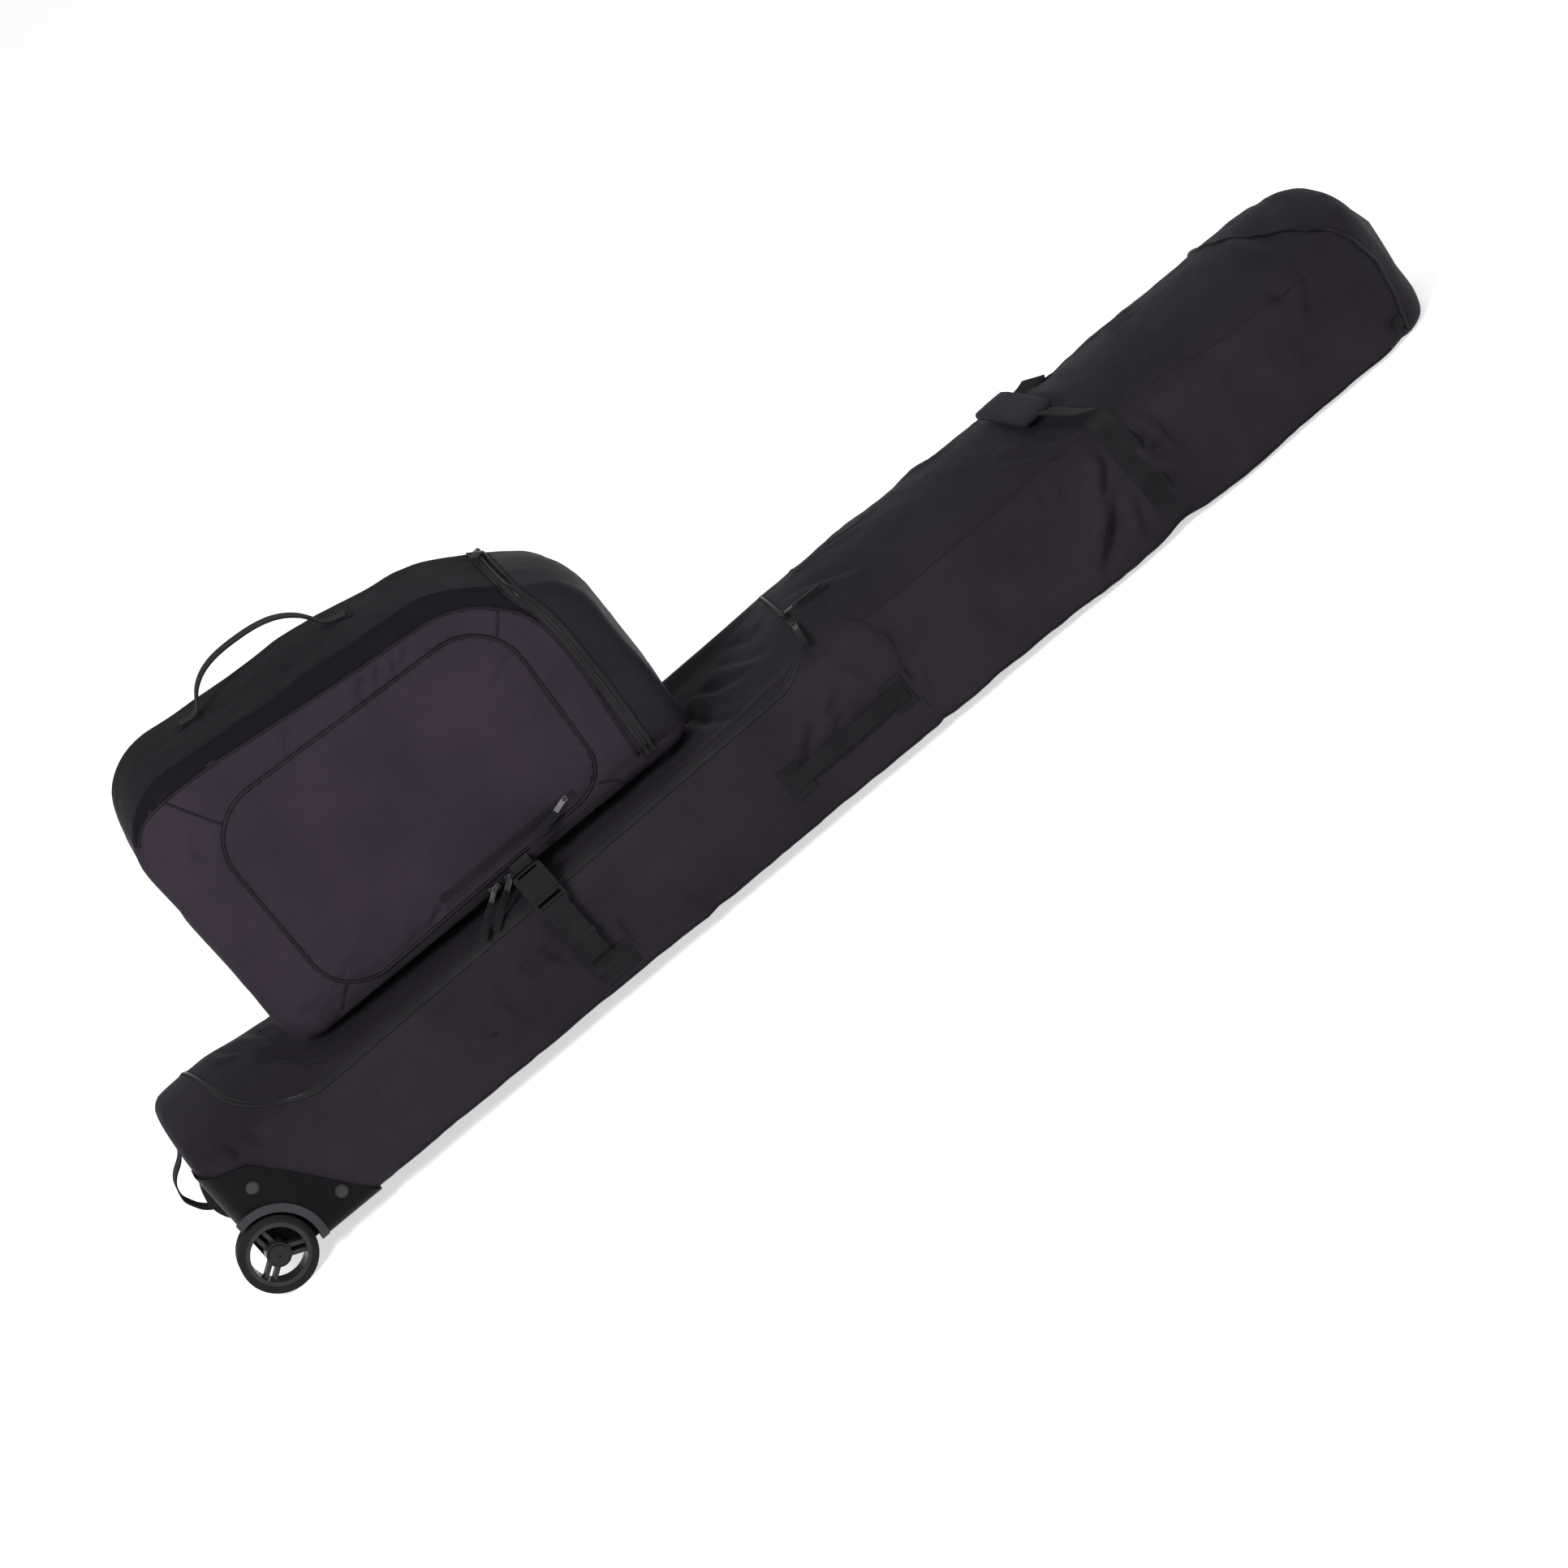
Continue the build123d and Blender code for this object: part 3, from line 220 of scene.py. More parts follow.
def evenTrail(trail, count, closed=False):
    if closed:
        trail = trail + [trail[0]]
    lengths = [0.0]
    for first, second in zip(trail, trail[1:]):
        lengths.append(lengths[-1] + (second - first).length)
    spots = []
    index = 0
    steps = count if closed else count - 1
    for number in range(count):
        goal = lengths[-1] * number / steps
        while index < len(trail) - 2 and lengths[index + 1] < goal:
            index += 1
        span = lengths[index + 1] - lengths[index]
        share = (goal - lengths[index]) / span if span else 0.0
        spots.append(trail[index].lerp(trail[index + 1], clamp(share)))
    return spots


def trailLength(trail):
    return sum((b - a).length for a, b in zip(trail, trail[1:]))


def bandAlong(name, trail, normals, width, thickness, crown=0.0):  # flat webbing along a trail
    count = len(trail)

    def place(u, v):
        index = min(count - 1, round(u * (count - 1)))
        ahead = trail[min(count - 1, index + 1)] - trail[max(0, index - 1)]
        side = ahead.normalized().cross(normals[index]).normalized()
        lift = crown * (1 - (2 * v - 1) ** 4)
        return trail[index] + side * (v - 0.5) * width + normals[index] * lift

    band = wrapGrid(name, count - 1, 6, place, (trailLength(trail), width))
    applyModifier(band, "SOLIDIFY", thickness=thickness, offset=0)
    closeSeams(band, 0.00001)
    return band


def roundLine(name, runs, radius, roundness=2, closed=False, capped=True):  # a tube along each run of points
    curve = bpy.data.curves.new(name, "CURVE")
    curve.dimensions = "3D"
    curve.bevel_depth = radius
    curve.bevel_resolution = roundness
    curve.use_fill_caps = capped
    for run in runs:
        spline = curve.splines.new("POLY")
        spline.points.add(len(run) - 1)
        for point, spot in zip(spline.points, run):
            point.co = (*spot, 1)
        spline.use_cyclic_u = closed
    line = bpy.data.objects.new(name, curve)
    bpy.context.collection.objects.link(line)
    choose(line)
    bpy.ops.object.convert(target="MESH")
    return bpy.context.object


def layPiping(name, trail, radius, body="roller", nodes=(), closed=False):
    finishPiece(roundLine(name, [trail], radius, closed=closed), body, paint["piping"], nodes)


def layCoil(name, trail, radius, body):
    finishPiece(roundLine(name, [trail], radius), body, paint["coil"])


def finishWebbing(piece, body, *nodes):
    return finishPiece(piece, body, paint["webbing"], nodes)


def stitchRow(name, trail, body, gap=0.0030, thickness=0.0004):  # thread dashes along a trail
    spots = evenTrail(trail, max(4, 2 * int(trailLength(trail) / gap)))
    dashes = [(start, start.lerp(end, 0.75)) for start, end in zip(spots[::2], spots[1::2])]
    finishPiece(roundLine(name, dashes, thickness, 0, capped=False), body, paint["thread"])


# Shader groups
def setInputs(node, values):
    for label, value in values.items():
        node.inputs[label].default_value = value


def newGroup(name, inputs, outputs):
    group = bpy.data.node_groups.new(name, "ShaderNodeTree")
    for label, kind, value in inputs:
        socket = group.interface.new_socket(name=label, in_out="INPUT", socket_type=kind)
        if value is not None:
            socket.default_value = value
    for label, kind in outputs:
        group.interface.new_socket(name=label, in_out="OUTPUT", socket_type=kind)
    return group, group.nodes.new("NodeGroupInput"), group.nodes.new("NodeGroupOutput")


def addMath(tree, operation, first, second=None):
    node = tree.nodes.new("ShaderNodeMath")
    node.operation = operation
    for socket, value in zip(node.inputs, (first, second)):
        if value is None:
            continue
        if isinstance(value, (int, float)):
            socket.default_value = value
        else:
            tree.links.new(value, socket)
    return node.outputs[0]


def addWave(tree, value, rate, turn):  # sine of a coordinate times a rate, turn being the angle of one step
    return addMath(tree, "SINE", addMath(tree, "MULTIPLY", addMath(tree, "MULTIPLY", value, rate), turn))


def splitVector(tree, vector):
    split = tree.nodes.new("ShaderNodeSeparateXYZ")
    tree.links.new(vector, split.inputs[0])
    return split.outputs


fullTurn, halfTurn = 6.283, 3.14


def vectorAnd(label, value):  # sockets of a group that takes a vector and one number
    return [("Vector", "NodeSocketVector", None), (label, "NodeSocketFloat", value)]


def makeWeaveGroup():  # two crossed sets of threads
    tree, given, out = newGroup("clothWeave", vectorAnd("Threads", 900.0), [("Height", "NodeSocketFloat")])
    axes = splitVector(tree, given.outputs["Vector"])
    waves = [addWave(tree, axes[axis], given.outputs["Threads"], fullTurn) for axis in range(3)]
    crossings = ((0, 1), (0, 2), (1, 2))
    pairs = [addMath(tree, "MULTIPLY", waves[first], waves[second]) for first, second in crossings]
    height = addMath(tree, "ADD", addMath(tree, "ADD", pairs[0], pairs[1]), pairs[2])
    tree.links.new(height, out.inputs["Height"])
    return tree


def makeWearGroup():  # cloudy shade, as dust and rubbing leave
    tree, given, out = newGroup("dustAndWear", vectorAnd("Scale", 9.0), [("Shade", "NodeSocketFloat")])
    clouds = tree.nodes.new("ShaderNodeTexNoise")
    setInputs(clouds, {"Detail": 6, "Roughness": 0.6})
    tree.links.new(given.outputs["Vector"], clouds.inputs["Vector"])
    tree.links.new(given.outputs["Scale"], clouds.inputs["Scale"])
    tree.links.new(clouds.outputs["Fac"], out.inputs["Shade"])
    return tree


def makeRibGroup():  # ribs across webbing, from its own UV map
    tree, given, out = newGroup("webbingRib", vectorAnd("Ribs", 520.0), [("Height", "NodeSocketFloat")])
    axes = splitVector(tree, given.outputs["Vector"])
    along = addWave(tree, axes[0], given.outputs["Ribs"], fullTurn)
    over = addWave(tree, axes[1], given.outputs["Ribs"], halfTurn)
    tree.links.new(addMath(tree, "ADD", along, addMath(tree, "MULTIPLY", over, 0.6)), out.inputs["Height"])
    return tree


groups = {"weave": makeWeaveGroup(), "wear": makeWearGroup(), "rib": makeRibGroup()}


def placeGroup(tree, group, vector, **values):
    node = tree.nodes.new("ShaderNodeGroup")
    node.node_tree = groups[group]
    tree.links.new(vector, node.inputs["Vector"])
    setInputs(node, values)
    return node


def startMaterial(name, rough, sheen=0.0, sheenTint=(1, 1, 1, 1), metallic=0.0, coat=0.0, specular=0.08):
    material = bpy.data.materials.new(name)
    material.use_nodes = True
    shader = material.node_tree.nodes["Principled BSDF"]
    setInputs(shader, {"Roughness": rough, "Metallic": metallic, "Sheen Weight": sheen, "Sheen Roughness": 0.5,
                       "Sheen Tint": sheenTint, "Coat Weight": coat, "Specular IOR Level": specular})
    return material, material.node_tree, shader


def shadeBetween(tree, shader, factor, dark, light):
    ramp = tree.nodes.new("ShaderNodeValToRGB")
    for element, place, colour in zip(ramp.color_ramp.elements, (0.3, 0.7), (dark, light)):
        element.position = place
        element.color = (*colour, 1)
    tree.links.new(factor, ramp.inputs[0])
    tree.links.new(ramp.outputs[0], shader.inputs["Base Color"])


def addBump(tree, shader, heights):  # heights: (socket, strength, distance), from coarse to fine
    normal = None
    for socket, strength, distance in heights:
        node = tree.nodes.new("ShaderNodeBump")
        setInputs(node, {"Strength": strength, "Distance": distance})
        tree.links.new(socket, node.inputs["Height"])
        if normal:
            tree.links.new(normal, node.inputs["Normal"])
        normal = node.outputs[0]
    tree.links.new(normal, shader.inputs["Normal"])


def coordinates(tree, kind="Object"):
    return tree.nodes.new("ShaderNodeTexCoord").outputs[kind]


def makeCloth(name, dark, light, rough, threads, creases, sheen=0.03):
    material, tree, shader = startMaterial(name, rough, sheen, (0.75, 0.7, 0.8, 1))
    where = coordinates(tree)
    weave = placeGroup(tree, "weave", where, Threads=threads)
    wear = placeGroup(tree, "wear", where, Scale=7.0)
    folds = tree.nodes.new("ShaderNodeTexNoise")
    setInputs(folds, {"Scale": 26, "Detail": 4, "Distortion": 0.9})
    fall = tree.nodes.new("ShaderNodeMapping")  # creases run longer down the cloth than along it
    setInputs(fall, {"Scale": (1.0, 0.55, 0.5)})
    tree.links.new(where, fall.inputs["Vector"])
    tree.links.new(fall.outputs["Vector"], folds.inputs["Vector"])
    shadeBetween(tree, shader, wear.outputs["Shade"], dark, light)
    addBump(tree, shader, [(folds.outputs["Fac"], creases, 0.007), (weave.outputs["Height"], 0.25, 0.0002)])
    return material


def makeWebbing(name, dark, light):
    material, tree, shader = startMaterial(name, 0.75, 0.05)
    wear = placeGroup(tree, "wear", coordinates(tree), Scale=25.0)
    rib = placeGroup(tree, "rib", coordinates(tree, "UV"), Ribs=480.0)
    shadeBetween(tree, shader, wear.outputs["Shade"], dark, light)
    addBump(tree, shader, [(rib.outputs["Height"], 0.5, 0.0004)])
    return material


def makeMoulded(name, dark, light, rough, size, depth, coat=0.0, metallic=0.0, specular=0.15):
    material, tree, shader = startMaterial(name, rough, coat=coat, metallic=metallic, specular=specular)
    where = coordinates(tree)
    wear = placeGroup(tree, "wear", where, Scale=18.0)
    skin = tree.nodes.new("ShaderNodeTexVoronoi")
    setInputs(skin, {"Scale": size})
    tree.links.new(where, skin.inputs["Vector"])
    shadeBetween(tree, shader, wear.outputs["Shade"], dark, light)
    addBump(tree, shader, [(skin.outputs["Distance"], depth, 0.0003)])
    return material


def makeZipTape(name, dark, light):  # coil teeth down the middle of the tape, by its UV map
    material, tree, shader = startMaterial(name, 0.8, 0.03)
    along = splitVector(tree, coordinates(tree, "UV"))[0]
    teeth = addMath(tree, "SINE", addMath(tree, "MULTIPLY", along, 2600.0))
    wear = placeGroup(tree, "wear", coordinates(tree), Scale=20.0)
    shadeBetween(tree, shader, wear.outputs["Shade"], dark, light)
    addBump(tree, shader, [(teeth, 0.6, 0.0006)])
    return material


paint = {
    "roller": makeCloth("rollerCloth", (0.0136, 0.0110, 0.0150), (0.0224, 0.0186, 0.0252), 0.66, 700, 0.5),
    "base": makeCloth("baseCloth", (0.0100, 0.0088, 0.0110), (0.0165, 0.0145, 0.0180), 0.6, 500, 0.2),
    "duffel": makeCloth("duffelCloth", (0.0215, 0.0148, 0.0235), (0.0325, 0.0232, 0.0350), 0.66, 600, 0.35),
    "duffelTop": makeCloth("duffelTopCloth", (0.0046, 0.0040, 0.0058), (0.0082, 0.0072, 0.0100), 0.8, 500, 0.3),
    "duffelEnd": makeCloth("duffelEndCloth", (0.0095, 0.0080, 0.0112), (0.0160, 0.0138, 0.0182), 0.56, 500, 0.3),
    "webbing": makeWebbing("blackWebbing", (0.0082, 0.0076, 0.0088), (0.0150, 0.0140, 0.0160)),
    "frontZip": makeZipTape("frontZipTape", (0.0130, 0.0104, 0.0142), (0.0210, 0.0172, 0.0228)),
    "thread": makeMoulded("blackThread", (0.022, 0.021, 0.023), (0.034, 0.033, 0.035), 0.6, 2000, 0.2),
    "grip": makeCloth("gripWrap", (0.0170, 0.0145, 0.0195), (0.0250, 0.0215, 0.0280), 0.6, 500, 0.3),
    "zip": makeZipTape("zipTape", (0.0170, 0.0152, 0.0176), (0.0285, 0.0262, 0.0296)),
    "coil": makeMoulded("zipCoil", (0.0045, 0.0045, 0.005), (0.009, 0.009, 0.0095), 0.35, 900, 0.3, 0.2),
    "housing": makeMoulded("cornerMoulding", (0.0018, 0.0015, 0.0021), (0.0040, 0.0035, 0.0045), 0.5, 1400, 0.35,
                          specular=0.09),
    "rivet": makeMoulded("rivetMoulding", (0.026, 0.025, 0.027), (0.040, 0.038, 0.041), 0.4, 1400, 0.2, 0.1),
    "trim": makeMoulded("archMoulding", (0.030, 0.027, 0.032), (0.042, 0.039, 0.045), 0.42, 1100, 0.2, 0.05),
    # black buckle plastic, made darker still as painted shade for the buckles lying in the shadow under the duffel
    "buckle": makeMoulded("buckleMouldingPaintedShade", (0.0032, 0.0031, 0.0034), (0.0070, 0.0068, 0.0073), 0.36, 1600, 0.15,
                         specular=0.14),
    "rim": makeMoulded("rimMoulding", (0.014, 0.0135, 0.0145), (0.026, 0.025, 0.027), 0.4, 1300, 0.2, 0.2),
    "tyre": makeMoulded("tyreRubber", (0.0055, 0.0055, 0.006), (0.012, 0.0115, 0.0125), 0.7, 800, 0.5),
    "piping": makeMoulded("pipingCover", (0.0062, 0.0048, 0.0070), (0.0105, 0.0084, 0.0118), 0.5, 900, 0.3),
    "slider": makeMoulded("sliderMetal", (0.020, 0.020, 0.021), (0.040, 0.040, 0.041), 0.35, 700, 0.15, 0.1, 0.6),
    "tab": makeMoulded("tabMetal", (0.10, 0.10, 0.105), (0.20, 0.20, 0.205), 0.32, 700, 0.1, 0.0, 0.8),
    "steel": makeMoulded("bearingSteel", (0.45, 0.45, 0.46), (0.62, 0.62, 0.63), 0.28, 500, 0.1, 0.0, 1.0),
    "board": makeMoulded("boardPlastic", (0.05, 0.05, 0.05), (0.08, 0.08, 0.08), 0.6, 300, 0.2),
}
print("materials are made")


def makeFloor():
    clearSelection()
    bpy.ops.mesh.primitive_plane_add(size=studio["floorSize"], location=(0, 0, -studio["floorDrop"]))
    floor = bpy.context.object
    floor.name = "floor"
    bpy.ops.object.transform_apply(location=True)
    material, tree, shader = startMaterial("paleFloor", 0.9, specular=0.1)
    setInputs(shader, {"Base Color": (*[studio["floorShade"]] * 3, 1), "Emission Color": (1, 1, 1, 1)})
    floor.data.materials.append(material)
    light = tree.nodes.new("ShaderNodeLightPath")  # the floor reads white to the eye and keeps its shadow
    seen = addMath(tree, "MAXIMUM", light.outputs["Is Camera Ray"], light.outputs["Is Glossy Ray"])
    seen = addMath(tree, "MAXIMUM", seen, light.outputs["Is Transmission Ray"])
    glow = addMath(tree, "MULTIPLY", seen, studio["floorGlow"])
    tree.links.new(glow, shader.inputs["Emission Strength"])


def smoothTrail(points, count):  # soft curve near the given points
    for turn in range(3):
        finer = [points[0]]
        for first, second in zip(points, points[1:]):
            finer += [first.lerp(second, 0.25), first.lerp(second, 0.75)]
        points = finer + [points[-1]]
    return evenTrail(points, count)


def blendedAt(stations, place):  # soft value between the stations
    for first, second in zip(stations, stations[1:]):
        if place <= second[0]:
            straight = clamp((place - first[0]) / (second[0] - first[0]))
            return mix(first[1], second[1], smooth(place, first[0], second[0]) * 0.5 + 0.5 * straight)
    return stations[-1][1]


# Roller body: its crown, base and sections
roller = {"wheelEnd": -0.838, "topEnd": 0.878, "half": 0.165, "restX": 0.820, "wheelDrop": 0.028,
          "topEdge": 0.036, "baseEdge": 0.016, "wheelPlan": 0.034, "topPlan": 0.110, "wheelRound": 0.014,
          "wheelSqueeze": 0.009, "endRound": 0.040, "endSlant": 0.13, "slantFrom": 0.70, "slantTo": 0.88,
          "wall": 0.003, "baseBand": 0.0035,
          "crown": [(-0.838, 0.221, 0.032), (-0.740, 0.214, 0.034), (-0.660, 0.190, 0.016), (-0.080, 0.178, 0.001),
                    (0.009, 0.183, 0.006), (0.081, 0.193, 0.015), (0.150, 0.201, 0.022), (0.340, 0.194, 0.022),
                    (0.530, 0.175, 0.022), (0.820, 0.179, 0.022), (0.878, 0.176, 0.022)]}  # x, height, dome
well = {"x": -0.825, "z": 0.046, "radius": 0.056, "inner": 0.120}
lid = {"start": -0.790, "end": 0.069, "nearY": -0.152, "hingeY": 0.128, "corner": 0.060, "zip": 0.009,
       "nearZip": 0.0075, "sag": 0.010, "slant": 0.16, "wheelCorner": 0.075, "length": 0.859, "width": 0.280}
haulX = 0.487
sides = ((-1, "near"), (1, "far"))


def baseHeight(x):
    return max(0.0, roller["wheelDrop"] * (roller["restX"] - x) / (roller["restX"] - roller["wheelEnd"]))


def crownValue(x, column):
    stations = roller["crown"]
    if x <= stations[0][0]:
        return stations[0][column]
    for first, second in zip(stations, stations[1:]):
        if x <= second[0]:
            return mix(first[column], second[column], (x - first[0]) / (second[0] - first[0]))
    return stations[-1][column]


def softCrown(x, column):  # rounds the crown line off at its stations
    weights = ((-0.03, 0.25), (0, 0.5), (0.03, 0.25))
    return sum(crownValue(x + shift, column) * weight for shift, weight in weights)


def halfWidth(x):
    half = roller["half"]
    corners = ((x - roller["wheelEnd"], roller["wheelPlan"]), (roller["topEnd"] - x, roller["topPlan"]))
    for distance, radius in corners:
        if distance < radius:
            half = roller["half"] - radius + math.sqrt(max(0.0, radius ** 2 - (radius - distance) ** 2))
    return half


def endSqueeze(x):
    start = clamp(1 - (x - roller["wheelEnd"]) / roller["wheelRound"])
    tail = clamp(1 - (roller["topEnd"] - x) / roller["endRound"])
    return roller["wheelSqueeze"] * start ** 2 + 0.7 * roller["endRound"] * (1 - math.sqrt(1 - tail ** 2))


def sectionShape(x):
    half = halfWidth(x)
    high = softCrown(x, 1) - endSqueeze(x)
    low = baseHeight(x) + endSqueeze(x)
    rise = softCrown(x, 2) * min(1.0, half / roller["half"])
    edge = roller["topEdge"]
    lean = 2 * math.atan2(rise, half - edge)
    shoulder = half - edge + edge * math.sin(lean)
    lean = 2 * math.atan2(rise, shoulder)
    return half, high, low, rise, edge, lean, half - edge + edge * math.sin(lean)


sectionParts = {"shoulder": 0.29, "side": 0.40, "foot": 0.62, "base": 0.67}  # turns where these start


def rollerPoint(x, turn):  # the top end is cut aslant, shorter at its far side
    spot = sectionPoint(x, turn)
    slant = roller["endSlant"] * smooth(x, roller["slantFrom"], roller["slantTo"])
    spot.x -= slant * (spot.y + roller["half"])
    return spot


def sectionPoint(x, turn):  # turn runs from -1, under the base, over the near side and the crown at 0, to +1
    half, high, low, rise, edge, lean, shoulder = sectionShape(x)
    side = -1 if turn < 0 else 1
    part = abs(turn)
    foot = roller["baseEdge"]
    toShoulder, toSide, toFoot, toBase = sectionParts.values()
    top = high - rise - edge * math.cos(lean)
    if part < toShoulder:
        reach = part / toShoulder
        y, z = shoulder * reach, high - rise * reach ** 2
    elif part < toSide:
        angle = mix(lean, pi / 2, (part - toShoulder) / (toSide - toShoulder))
        y, z = half - edge + edge * math.sin(angle), top + edge * math.cos(angle)
    elif part < toFoot:
        y, z = half, mix(top, low + foot, (part - toSide) / (toFoot - toSide))
    elif part < toBase:
        angle = (part - toFoot) / (toBase - toFoot) * pi / 2
        y, z = half - foot + foot * math.cos(angle), low + foot - foot * math.sin(angle)
    else:
        y, z = (half - foot) * (1 - (part - toBase) / (1 - toBase)), low
    return Vector((x, side * y, z))


def topHeight(x, y):
    half, high, low, rise, edge, lean, shoulder = sectionShape(x)
    if abs(y) <= shoulder:
        return high - rise * (abs(y) / shoulder) ** 2
    angle = math.asin(clamp((abs(y) - half + edge) / edge))
    return high - rise - edge * math.cos(lean) + edge * math.cos(angle)


def outwardAt(x, turn):
    step = 0.002
    along = rollerPoint(x + step, turn) - rollerPoint(x - step, turn)
    over = rollerPoint(x, turn + step) - rollerPoint(x, turn - step)
    out = along.cross(over)
    return out.normalized() if out.length else Vector((0, 0, 1))


def lidStart(y):  # the lid's wheel end runs slightly aslant
    return lid["start"] + lid["slant"] * (lid["hingeY"] - y)


def lidDistance(x, y):  # how far a point lies inside the lid's outline, negative outside
    inStart, inEnd, inY = x - lidStart(y), lid["end"] - x, y - lid["nearY"]
    for inX, corner in ((inStart, lid["wheelCorner"]), (inEnd, lid["corner"])):
        if inX < corner and inY < corner:
            return corner - math.hypot(corner - inX, corner - inY)
    return min(inStart, inEnd, inY, lid["hingeY"] - y + 0.02)


folds = {"strength": 1.35, "farSide": 0.8, "ridge": 0.8, "wander": 0.002, "reach": 0.03, "pinch": 0.0035,
         "pinchWidth": 0.022, "seamPull": 0.0025, "held": -0.0012}
sideCreases = [  # x, z to x, z of each crease in the near side, how deep and how wide
    (0.462, 0.143, 0.435, 0.098, 0.0043, 0.0065), (0.460, 0.129, 0.426, 0.087, 0.0041, 0.0065),
    (0.455, 0.100, 0.383, 0.024, 0.0061, 0.0100), (0.432, 0.087, 0.370, 0.018, 0.0052, 0.0090),
    (0.460, 0.081, 0.443, 0.018, 0.0043, 0.0070), (0.402, 0.145, 0.396, 0.118, 0.0026, 0.0060),
    (0.372, 0.152, 0.379, 0.125, 0.0023, 0.0060), (0.493, 0.139, 0.533, 0.063, 0.0052, 0.0080),
    (0.526, 0.144, 0.543, 0.066, 0.0043, 0.0070), (0.496, 0.075, 0.521, 0.031, 0.0032, 0.0070),
    (0.699, 0.178, 0.745, 0.122, 0.0043, 0.0075), (0.762, 0.144, 0.736, 0.089, 0.0038, 0.0070),
    (0.628, 0.126, 0.621, 0.088, 0.0026, 0.0070), (0.567, 0.070, 0.585, 0.032, 0.0023, 0.0070),
    (0.676, 0.110, 0.691, 0.060, 0.0026, 0.0090), (0.717, 0.090, 0.686, 0.030, 0.0023, 0.0090),
    (0.137, 0.154, 0.161, 0.098, 0.0043, 0.0065), (0.141, 0.126, 0.130, 0.044, 0.0041, 0.0060),
    (0.154, 0.090, 0.146, 0.040, 0.0026, 0.0060), (0.060, 0.132, 0.038, 0.102, 0.0038, 0.0070),
    (0.015, 0.118, -0.014, 0.082, 0.0043, 0.0080), (0.052, 0.104, 0.031, 0.088, 0.0032, 0.0060),
    (-0.034, 0.104, -0.047, 0.082, 0.0026, 0.0060), (0.078, 0.150, 0.109, 0.112, 0.0038, 0.0080),
    (-0.452, 0.118, -0.435, 0.066, 0.0035, 0.0090), (-0.417, 0.132, -0.388, 0.094, 0.0041, 0.0080),
    (-0.386, 0.126, -0.361, 0.092, 0.0038, 0.0070), (-0.306, 0.128, -0.271, 0.150, 0.0032, 0.0060),
    (-0.300, 0.104, -0.286, 0.034, 0.0038, 0.0060), (-0.216, 0.066, -0.198, 0.022, 0.0026, 0.0070),
    (-0.496, 0.100, -0.474, 0.070, 0.0023, 0.0080), (-0.713, 0.162, -0.674, 0.128, 0.0043, 0.0075),
    (-0.691, 0.170, -0.656, 0.142, 0.0038, 0.0065), (-0.762, 0.182, -0.746, 0.128, 0.0038, 0.0080),
    (-0.791, 0.190, -0.778, 0.160, 0.0041, 0.0070), (-0.633, 0.128, -0.611, 0.084, 0.0023, 0.0080),
    (0.248, 0.110, 0.260, 0.050, 0.0017, 0.0100), (0.317, 0.120, 0.305, 0.060, 0.0017, 0.0100)]
topCreases = [  # the same seen from above, x and y
    (0.387, -0.060, 0.456, -0.140, 0.0046, 0.0080), (0.366, -0.090, 0.443, -0.158, 0.0041, 0.0080),
    (0.491, -0.150, 0.532, -0.110, 0.0038, 0.0080), (0.406, 0.060, 0.458, 0.135, 0.0041, 0.0080),
    (0.371, 0.100, 0.447, 0.155, 0.0035, 0.0080), (0.091, 0.020, 0.180, -0.080, 0.0035, 0.0110),
    (0.111, 0.100, 0.228, 0.040, 0.0032, 0.0120), (0.547, 0.120, 0.627, 0.060, 0.0032, 0.0120),
    (0.287, 0.140, 0.366, 0.080, 0.0038, 0.0110), (0.676, -0.120, 0.727, -0.160, 0.0032, 0.0080),
    (0.747, 0.020, 0.777, -0.120, 0.0029, 0.0100), (0.228, -0.120, 0.287, -0.150, 0.0023, 0.0090)]
lidCreases = [
    (-0.125, -0.083, -0.072, 0.049, 0.0048, 0.0120), (-0.072, 0.049, 0.004, -0.058, 0.0044, 0.0130),
    (-0.110, 0.020, -0.043, -0.126, 0.0040, 0.0110), (-0.020, 0.060, 0.030, -0.050, 0.0036, 0.0110),
    (0.040, 0.019, 0.000, 0.095, 0.0030, 0.0110), (-0.150, 0.070, -0.130, -0.040, 0.0040, 0.0120),
    (-0.700, 0.070, -0.660, -0.060, 0.0036, 0.0120), (-0.745, 0.060, -0.715, 0.000, 0.0028, 0.0100),
    (-0.690, -0.060, -0.640, -0.120, 0.0036, 0.0100), (-0.600, -0.125, -0.480, -0.135, 0.0024, 0.0090),
    (-0.560, -0.110, -0.420, -0.140, 0.0020, 0.0080)]


def creaseMove(creases, x, w):  # each crease is a valley with a soft ridge beside it
    move, near = 0.0, folds["reach"]
    for x1, w1, x2, w2, depth, width in creases:
        inX = min(x1, x2) - near < x < max(x1, x2) + near
        if not (inX and min(w1, w2) - near < w < max(w1, w2) + near):
            continue
        runX, runW = x2 - x1, w2 - w1
        length = math.hypot(runX, runW)
        along = ((x - x1) * runX + (w - w1) * runW) / length ** 2
        aside = ((x - x1) * runW - (w - w1) * runX) / length + folds["wander"] * math.sin(7 * along)
        fade = smooth(along, -0.12, 0.3) * smooth(1.15 - along, 0, 0.5)
        ridge = folds["ridge"] * bump(aside, 1.7 * width, 1.2 * width)
        move += folds["strength"] * depth * fade * (ridge - bump(aside, 0, 0.8 * width))
    return move


